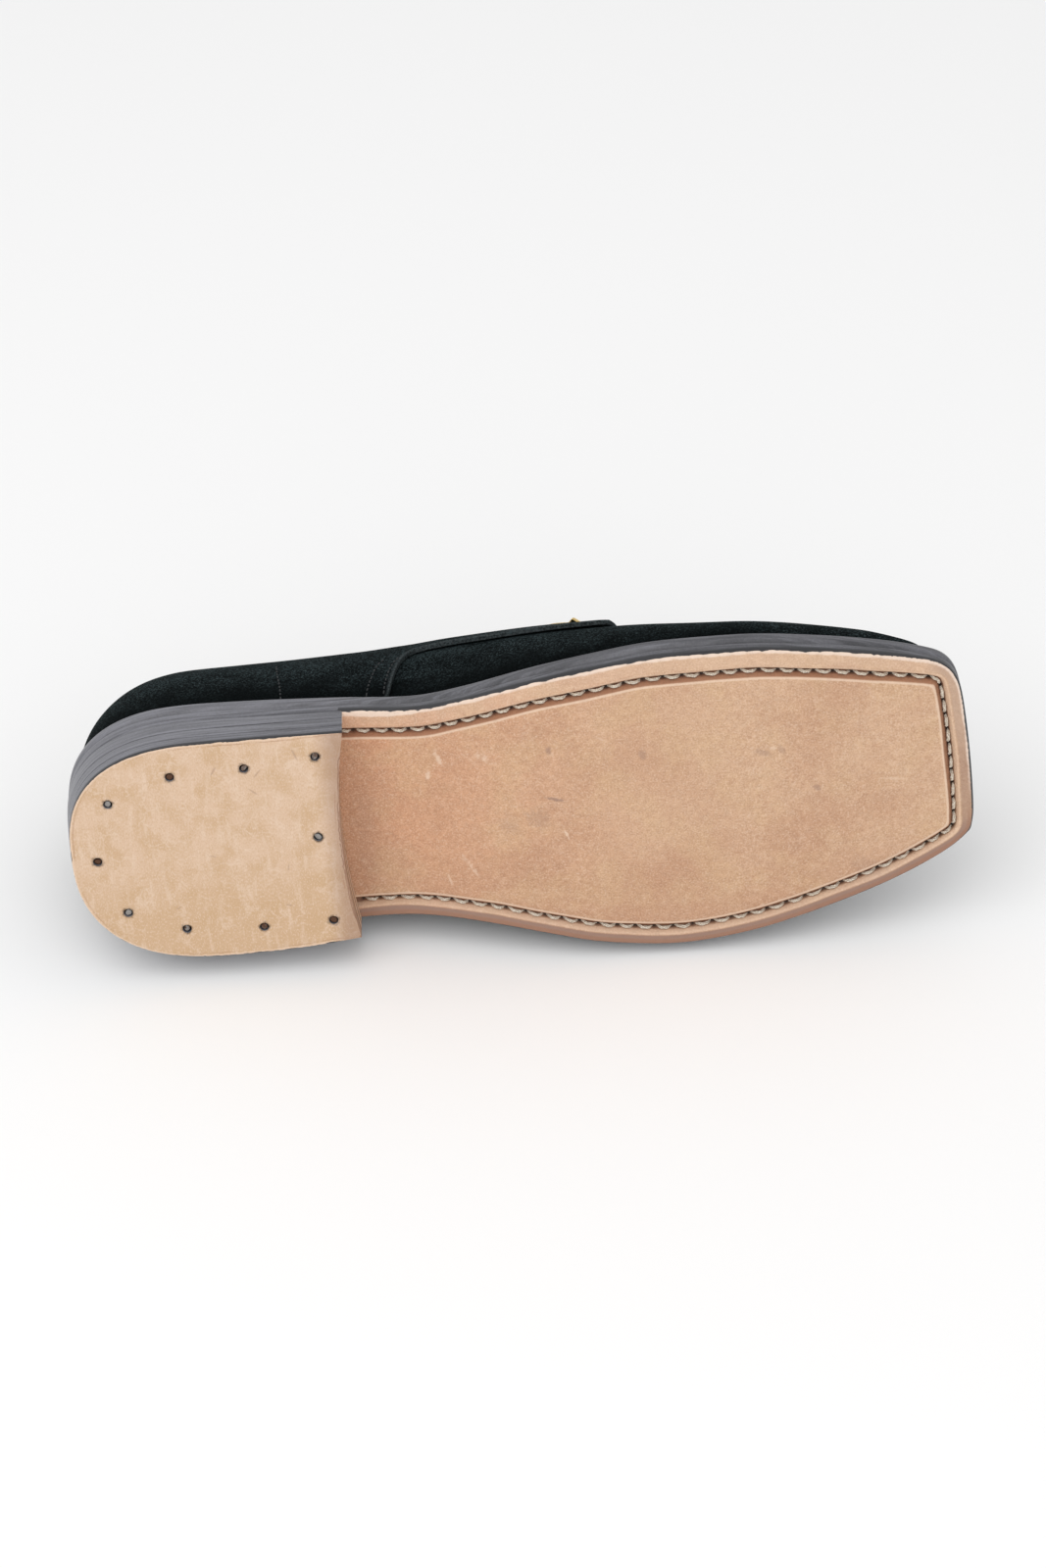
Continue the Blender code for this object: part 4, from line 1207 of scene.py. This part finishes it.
class SHOE_OT_midsole(bpy.types.Operator):
    """Make the second sole layer with its black edge"""

    bl_idname = "shoe.midsole"
    bl_label = "Midsole"

    def execute(self, context):
        shape = dressed("midsole")
        field(shape, "natural")
        add_piece(shape, "midsole_edge", "black_edge", ["midsole"])
        return {"FINISHED"}


def breast_field(shape):
    """Marks the breast of the heel, which is left natural, and how near its layer's joints are, in mm.

    Gives back a search tree over the breast.
    """
    natural, joint = field(shape, "natural"), field(shape, "joint")
    heights = [vert.co.z for vert in shape.verts]
    low, high = min(heights), max(heights)
    for vert in shape.verts:
        flat = vert.normal.z < BOTTOM
        vert[joint] = FAR if flat else min(vert.co.z - low, high - vert.co.z) / MM
    breast = []
    nails = tree_of([Vector((at.x, at.y, 0.0)) for at in nail_spots().values()])
    for face in shape.faces:
        middle = face.calc_center_median()
        beside_nail = nails.find(Vector((middle.x, middle.y, 0.0)))[2] < NAIL_CLEAR
        in_front = middle.x > BREAST_X - BREAST_REACH
        if face.normal.x > BREAST_FACING and in_front and not beside_nail:
            breast += face.verts
    for vert in breast:
        vert[natural] = 1.0
    return tree_of([vert.co for vert in breast])


def flat_bottom(shape):
    """Faces that lie flat on the ground."""
    return [face for face in shape.faces if face.normal.z < FLAT_UNDERSIDE]


def cut_grid(shape, step):
    """Cuts the flat bottom along a square grid, so that what is written on its vertices keeps its detail."""
    faces = flat_bottom(shape)
    low = [min(vert.co[axis] for face in faces for vert in face.verts) for axis in (0, 1)]
    high = [max(vert.co[axis] for face in faces for vert in face.verts) for axis in (0, 1)]
    for axis in (0, 1):
        across = Vector((1, 0, 0)) if axis == 0 else Vector((0, 1, 0))
        for i in range(1, math.ceil((high[axis] - low[axis]) / step)):
            geom = list({part for face in flat_bottom(shape) for part in (face, *face.edges, *face.verts)})
            place = across * (low[axis] + i * step)
            bmesh.ops.bisect_plane(shape, geom=geom, dist=MERGE, plane_co=place, plane_no=across)


# How rusty each nail is, in the order of the nodes
NAIL_RUST = (0.5, 0.55, 0.75, 0.05, 0.9, 0.15, 0.5, 0.6, 1.0, 0.1)


class SHOE_OT_heel(bpy.types.Operator):
    """Make the heel's lifts and the nailed top lift"""

    bl_idname = "shoe.heel"
    bl_label = "Heel"

    edge_round = 0.3 * MM
    tread_round = 0.4 * MM
    grid = 2.0 * MM
    bare_reach = 2.2 * MM
    bare_facing = -0.95
    nail_radius = 1.16 * MM
    nail_point = 1.1 * MM
    nail_long = 2.8 * MM
    nail_middle = 1.75 * MM
    nail_head = 1.0 * MM
    nail_round = 0.4 * MM
    nail_lean = 7
    nail_broad = (0.95, 1.2)
    nail_narrow = (0.8, 1.0)
    nail_sides = 18
    nail_uneven = 0.2
    nail_uneven_pitch = 0.9
    nail_dent = 0.12 * MM
    nail_dent_pitch = 1.4

    def execute(self, context):
        for node in ("heel_lift_lower", "heel_lift_upper"):
            shape = self.round_edges(node, self.edge_round)
            breast_field(shape)
            add_piece(shape, node + "_leather", "black_edge", [node])
        self.top_lift()
        self.nails()
        return {"FINISHED"}

    def round_edges(self, node, size):
        """A lift with its outline smoothed and its edges softened above and below."""
        shape = dressed(node)
        bmesh.ops.bevel(
            shape,
            geom=sharp_edges(shape),
            offset=size,
            offset_type="OFFSET",
            segments=2,
            profile=0.5,
            affect="EDGES",
            clamp_overlap=True,
            material=-1,
        )
        shape.normal_update()
        return shape

    def top_lift(self):
        """The lift that meets the ground, its bottom face cut up finely."""
        cage = node_copy("top_lift")
        outline = border_loops(undersides(cage)[0])[0]
        cage.free()
        shape = self.round_edges("top_lift", self.tread_round)
        cut_grid(shape, self.grid)
        rim_field(shape, outline)
        breast = breast_field(shape)
        natural = field(shape, "natural")
        for vert in shape.verts:
            near_breast = breast.find(vert.co)[2] < self.bare_reach
            if vert.normal.z < self.bare_facing and near_breast:
                vert[natural] = 1.0
        add_piece(shape, "top_lift_leather", "lift_leather", ["top_lift"])

    def nails(self):
        """Hammered nail heads, sunk in their holes."""
        draw = random.Random(NAIL_SEED)
        spots = nail_spots()
        shape = bmesh.new()
        rust = field(shape, "rust")
        for middle, amount in zip(spots.values(), NAIL_RUST, strict=True):
            turn = Matrix.Rotation(draw.uniform(0, math.pi), 4, "Z")
            broad, narrow = draw.uniform(*self.nail_broad), draw.uniform(*self.nail_narrow)
            oval = Matrix.Diagonal((broad, narrow, 1.0, 1.0))
            lean = Matrix.Rotation(math.radians(draw.uniform(-self.nail_lean, self.nail_lean)), 4, "X")
            before = set(shape.verts)
            made = bmesh.ops.create_cone(
                shape,
                cap_ends=True,
                segments=self.nail_sides,
                radius1=self.nail_radius,
                radius2=self.nail_point,
                depth=self.nail_long,
                matrix=Matrix.Translation((middle.x, middle.y, self.nail_middle)) @ turn @ oval @ lean,
            )
            head = [vert for vert in made["verts"] if vert.co.z < self.nail_head]
            rim = [edge for edge in shape.edges if all(vert in head for vert in edge.verts)]
            bmesh.ops.bevel(
                shape,
                geom=rim,
                offset=self.nail_round,
                segments=3,
                profile=0.5,
                affect="EDGES",
                material=-1,
            )
            for vert in shape.verts:
                if vert not in before:
                    vert[rust] = amount
                    out = Vector((vert.co.x - middle.x, vert.co.y - middle.y, 0.0))
                    uneven = noise.noise(vert.co / MM * self.nail_uneven_pitch)
                    vert.co += out * self.nail_uneven * uneven
                    vert.co.z += self.nail_dent * noise.noise(vert.co / MM * self.nail_dent_pitch)
        add_piece(shape, "heel_nail_heads", "iron", list(spots))


class SHOE_OT_insole(bpy.types.Operator):
    """Make the footbed"""

    bl_idname = "shoe.insole"
    bl_label = "Insole"

    def execute(self, context):
        add_piece(dressed("insole"), "insole_leather", "lining_leather", ["insole"])
        return {"FINISHED"}


# Soft creases of the upper, in mm: where along the shoe, how wide and how deep
VAMP_CREASES = [(196.0, 7.0, 0.5), (207.0, 6.0, -0.35), (217.0, 6.5, 0.45), (229.0, 8.0, -0.25)]


def inside_point(place):
    """A point in the middle of the foot beside a place on the upper."""
    share = min(max((place.x / MM - FOOT_BACK) / (FOOT_FRONT - FOOT_BACK), 0.0), 1.0)
    x = min(max(place.x, FOOT_BACK * MM), FOOT_FRONT * MM)
    return Vector((x, (FOOT_SIDE - FOOT_VEER * share) * MM, (FOOT_HIGH - FOOT_FALL * share) * MM))


def cut_field(shape, rims):
    """Writes how far each vertex lies from the leather's cut edges, in mm."""
    layer = field(shape, "cut")
    search = tree_of(rims)
    for vert in shape.verts:
        vert[layer] = min(search.find(vert.co)[2] / MM, FAR)


def rim_points(shape):
    """Points along the cut edges of a leather wall."""
    points = []
    for edge in sharp_edges(shape):
        a, b = (vert.co for vert in edge.verts)
        parts = max(1, math.ceil((b - a).length / EDGE_STEP))
        points += [a.lerp(b, i / parts) for i in range(parts)]
    return points


def soften(shape):
    """Lets a leather wall wander a little off its last, the same on both skins."""
    for vert in shape.verts:
        spot = vert.co / MM
        swell = noise.noise(spot * WANDER_PITCH) + RIPPLE * noise.noise(spot * RIPPLE_PITCH)
        out = (vert.co - inside_point(vert.co)).normalized()
        vert.co += out * swell * WALL_WANDER


def suede_wall(node):
    """A leather wall of the upper, smoothed with its cut edges held and marked."""
    cage = node_copy(node)
    rims = rim_points(cage)
    cage.free()
    shape = dressed(node)
    cut_field(shape, rims)
    return shape


class SHOE_OT_upper(bpy.types.Operator):
    """Make the suede upper with its lining"""

    bl_idname = "shoe.upper"
    bl_label = "Upper"

    fold_from = 0.2
    fold_rise = 0.6
    fold_bow = 0.004
    fold_middle = -10
    fold_wander = 2.0
    fold_wander_pitch = 0.05
    fold_sharp = 1.6

    def execute(self, context):
        shape = suede_wall("upper")
        self.crease_vamp(shape)
        soften(shape)
        shape.normal_update()
        for face in shape.faces:
            middle = face.calc_center_median()
            face.material_index = int(face.normal.dot(middle - inside_point(middle)) < 0)
        finishes = [finish_of("black_suede"), finish_of("lining_leather")]
        add_piece(shape, "upper_suede", "black_suede", ["upper"], finishes)
        return {"FINISHED"}

    def crease_vamp(self, shape):
        """Soft folds across the vamp where the foot bends, fading down the sides."""
        for vert in shape.verts:
            spot = vert.co / MM
            out = (vert.co - inside_point(vert.co)).normalized()
            share = eased((out.z - self.fold_from) / self.fold_rise)
            wander = self.fold_wander * noise.noise(spot * self.fold_wander_pitch)
            for along, wide, depth in VAMP_CREASES:
                bow = along + self.fold_bow * (spot.y - self.fold_middle) ** 2 + wander
                fold = math.exp(-(((spot.x - bow) / wide * self.fold_sharp) ** 2))
                vert.co -= out * fold * depth * share * MM


class SHOE_OT_quarters(bpy.types.Operator):
    """Make both quarters with their latchets"""

    bl_idname = "shoe.quarters"
    bl_label = "Quarters"

    def execute(self, context):
        for node in ("quarter_inner", "quarter_outer"):
            shape = suede_wall(node)
            soften(shape)
            add_piece(shape, node + "_suede", "black_suede", [node])
        return {"FINISHED"}


class SHOE_OT_tongue(bpy.types.Operator):
    """Make the tongue"""

    bl_idname = "shoe.tongue"
    bl_label = "Tongue"

    def execute(self, context):
        shape = suede_wall("tongue")
        soften(shape)
        add_piece(shape, "tongue_suede", "black_suede", ["tongue"])
        return {"FINISHED"}


# Rows of stitches on the quarters, drawn in side view as places along the shoe and heights in mm
SEAM_ROWS = [
    [(105.0, 26.0), (105.4, 32.0), (106.3, 39.0), (107.6, 46.0), (109.4, 52.0), (111.8, 56.6)],
    [(99.3, 26.0), (99.9, 32.0), (101.1, 39.0), (102.4, 46.0), (104.0, 51.0), (106.5, 55.5)],
    [(71.4, 26.0), (71.1, 32.0), (70.7, 39.0), (69.8, 48.0), (69.3, 56.0), (68.9, 62.0)],
]


def surface_of(name):
    """A search tree over a finished piece, in the shoe's frame."""
    mesh = bpy.data.objects[name].data
    points = [TO_SHOE @ vert.co for vert in mesh.vertices]
    return BVHTree.FromPolygons(points, [face.vertices[:] for face in mesh.polygons])


class SHOE_OT_seams(bpy.types.Operator):
    """Sew the rows of black stitches on the quarters"""

    bl_idname = "shoe.seams"
    bl_label = "Seams"

    beside = 0.2
    step = 0.3 * MM
    shown = 0.66
    fewest = 3
    arch = 0.45
    sunk = 0.25

    def execute(self, context):
        sewing = context.scene.shoe_sewing
        strands = []
        for name, side in (("quarter_inner_suede", -1), ("quarter_outer_suede", 1)):
            surface = surface_of(name)
            for row in SEAM_ROWS:
                strands += self.row_strands(surface, row, side, sewing)
        shape = rope_mesh("seam_stitches", strands, sewing.seam_ply)
        finish = thread_finish("seam_thread_finish", SEAM_THREAD, SEAM_SHADE)
        add_piece(shape, "seam_stitches", None, finishes=[finish])
        return {"FINISHED"}

    def row_strands(self, surface, row, side, sewing):
        """One strand for each stitch of a row, laid on the leather from outside."""
        drawn = curve_through([Vector((x, 0, z)) * MM for x, z in row], self.step)
        inward = Vector((0, -side, 0))
        trail = []
        for point in drawn:
            hit, normal, _, _ = surface.ray_cast(Vector((point.x, side * self.beside, point.z)), inward)
            if hit:
                trail.append((hit, normal))
        lengths = trail_lengths([hit for hit, _ in trail])
        count = int(lengths[-1] / sewing.seam_pitch)
        strands = []
        for k in range(count):
            start = k * sewing.seam_pitch
            end = start + self.shown * sewing.seam_pitch
            run = [i for i, length in enumerate(lengths) if start <= length <= end]
            if len(run) < self.fewest:
                continue
            strand = []
            for i in run:
                rise = math.sin(math.pi * (lengths[i] - start) / (end - start))
                hit, normal = trail[i]
                strand.append(hit + normal * (self.arch * rise - self.sunk) * sewing.seam_ply * 2)
            strands.append(strand)
        return strands


class SHOE_OT_buckle(bpy.types.Operator):
    """Make the brass buckle: frame, bar and prongs"""

    bl_idname = "shoe.buckle"
    bl_label = "Buckle"

    def execute(self, context):
        for node in ("buckle_frame", "buckle_bar", "buckle_prong_1", "buckle_prong_2"):
            add_piece(dressed(node), node + "_brass", "brass", [node])
        return {"FINISHED"}


class SHOE_OT_stage(bpy.types.Operator):
    """Set the floor, the lights and the camera"""

    bl_idname = "shoe.stage"
    bl_label = "Stage"

    def execute(self, context):
        stage = context.scene.shoe_stage
        self.floor(stage)
        self.light("key_light", stage.key, KEY_PLACE, KEY_SIZE)
        self.light("fill_light", stage.fill, FILL_PLACE, FILL_SIZE)
        world = bpy.data.worlds.new("studio")
        world.use_nodes = True
        backdrop = world.node_tree.nodes["Background"]
        backdrop.inputs["Color"].default_value = (1.0, 1.0, 1.0, 1.0)
        backdrop.inputs["Strength"].default_value = stage.sky
        context.scene.world = world
        context.scene.view_settings.view_transform = "Standard"
        self.camera(context)
        return {"FINISHED"}

    def floor(self, stage):
        """A wide pale floor under the shoe."""
        shape = bmesh.new()
        bmesh.ops.create_grid(shape, x_segments=1, y_segments=1, size=FLOOR_SIZE)
        mesh = bpy.data.meshes.new("floor")
        shape.to_mesh(mesh)
        shape.free()
        pale = bpy.data.materials.new("floor_paper")
        pale.use_nodes = True
        shader = pale.node_tree.nodes["Principled BSDF"]
        shader.inputs["Base Color"].default_value = (*stage.floor, 1.0)
        shader.inputs["Roughness"].default_value = FLOOR_ROUGHNESS
        shader.inputs["Specular IOR Level"].default_value = FLOOR_GLOSS
        mesh.materials.append(pale)
        floor = bpy.data.objects.new("floor", mesh)
        bpy.context.scene.collection.objects.link(floor)

    def light(self, name, power, place, size):
        """A square soft light aimed at the shoe."""
        data = bpy.data.lights.new(name, "AREA")
        data.energy = power
        data.size = size
        lamp = bpy.data.objects.new(name, data)
        lamp.location = place
        lamp.rotation_euler = (-Vector(place)).to_track_quat("-Z", "Y").to_euler()
        bpy.context.scene.collection.objects.link(lamp)

    def camera(self, context):
        """The photograph's view of the sole."""
        back = Vector((0.0, -math.sin(VIEW_TILT), -math.cos(VIEW_TILT)))
        level = Vector((1.0, 0.0, 0.0))
        rise = back.cross(level)
        right = level * math.cos(VIEW_ROLL) - rise * math.sin(VIEW_ROLL)
        up = rise * math.cos(VIEW_ROLL) + level * math.sin(VIEW_ROLL)
        turn = Matrix((right, up, back)).transposed().to_4x4()
        data = bpy.data.cameras.new("camera")
        data.lens = VIEW_LENS
        data.sensor_width = SENSOR
        camera = bpy.data.objects.new("camera", data)
        place = Matrix.Translation(VIEW_TARGET + back * VIEW_DISTANCE) @ turn
        camera.matrix_world = SHOE @ place
        context.scene.collection.objects.link(camera)
        context.scene.camera = camera


PIECES = [
    SHOE_OT_outsole,
    SHOE_OT_sole_thread,
    SHOE_OT_midsole,
    SHOE_OT_heel,
    SHOE_OT_insole,
    SHOE_OT_upper,
    SHOE_OT_quarters,
    SHOE_OT_tongue,
    SHOE_OT_seams,
    SHOE_OT_buckle,
    SHOE_OT_stage,
]


class SHOE_PT_panel(bpy.types.Panel):
    """The shoe's pieces and settings"""

    bl_label = "Baroque shoe"
    bl_space_type = "VIEW_3D"
    bl_region_type = "UI"
    bl_category = "Shoe"

    def draw(self, context):
        for piece in PIECES:
            self.layout.operator(piece.bl_idname)
        for settings in (context.scene.shoe_colours, context.scene.shoe_sewing, context.scene.shoe_stage):
            box = self.layout.box()
            for name in type(settings).__annotations__:
                box.prop(settings, name)


CLASSES = [ShoeColours, ShoeSewing, ShoeStage, *PIECES, SHOE_PT_panel]


def register():
    for cls in CLASSES:
        bpy.utils.register_class(cls)
    bpy.types.Scene.shoe_colours = PointerProperty(type=ShoeColours)
    bpy.types.Scene.shoe_sewing = PointerProperty(type=ShoeSewing)
    bpy.types.Scene.shoe_stage = PointerProperty(type=ShoeStage)


def unregister():
    del bpy.types.Scene.shoe_stage
    del bpy.types.Scene.shoe_sewing
    del bpy.types.Scene.shoe_colours
    for cls in reversed(CLASSES):
        bpy.utils.unregister_class(cls)


def main():
    register()
    bpy.ops.shoe.outsole()
    bpy.ops.shoe.sole_thread()
    bpy.ops.shoe.midsole()
    bpy.ops.shoe.heel()
    bpy.ops.shoe.insole()
    bpy.ops.shoe.upper()
    bpy.ops.shoe.quarters()
    bpy.ops.shoe.tongue()
    bpy.ops.shoe.seams()
    bpy.ops.shoe.buckle()
    bpy.ops.shoe.stage()


if __name__ == "__main__":
    main()
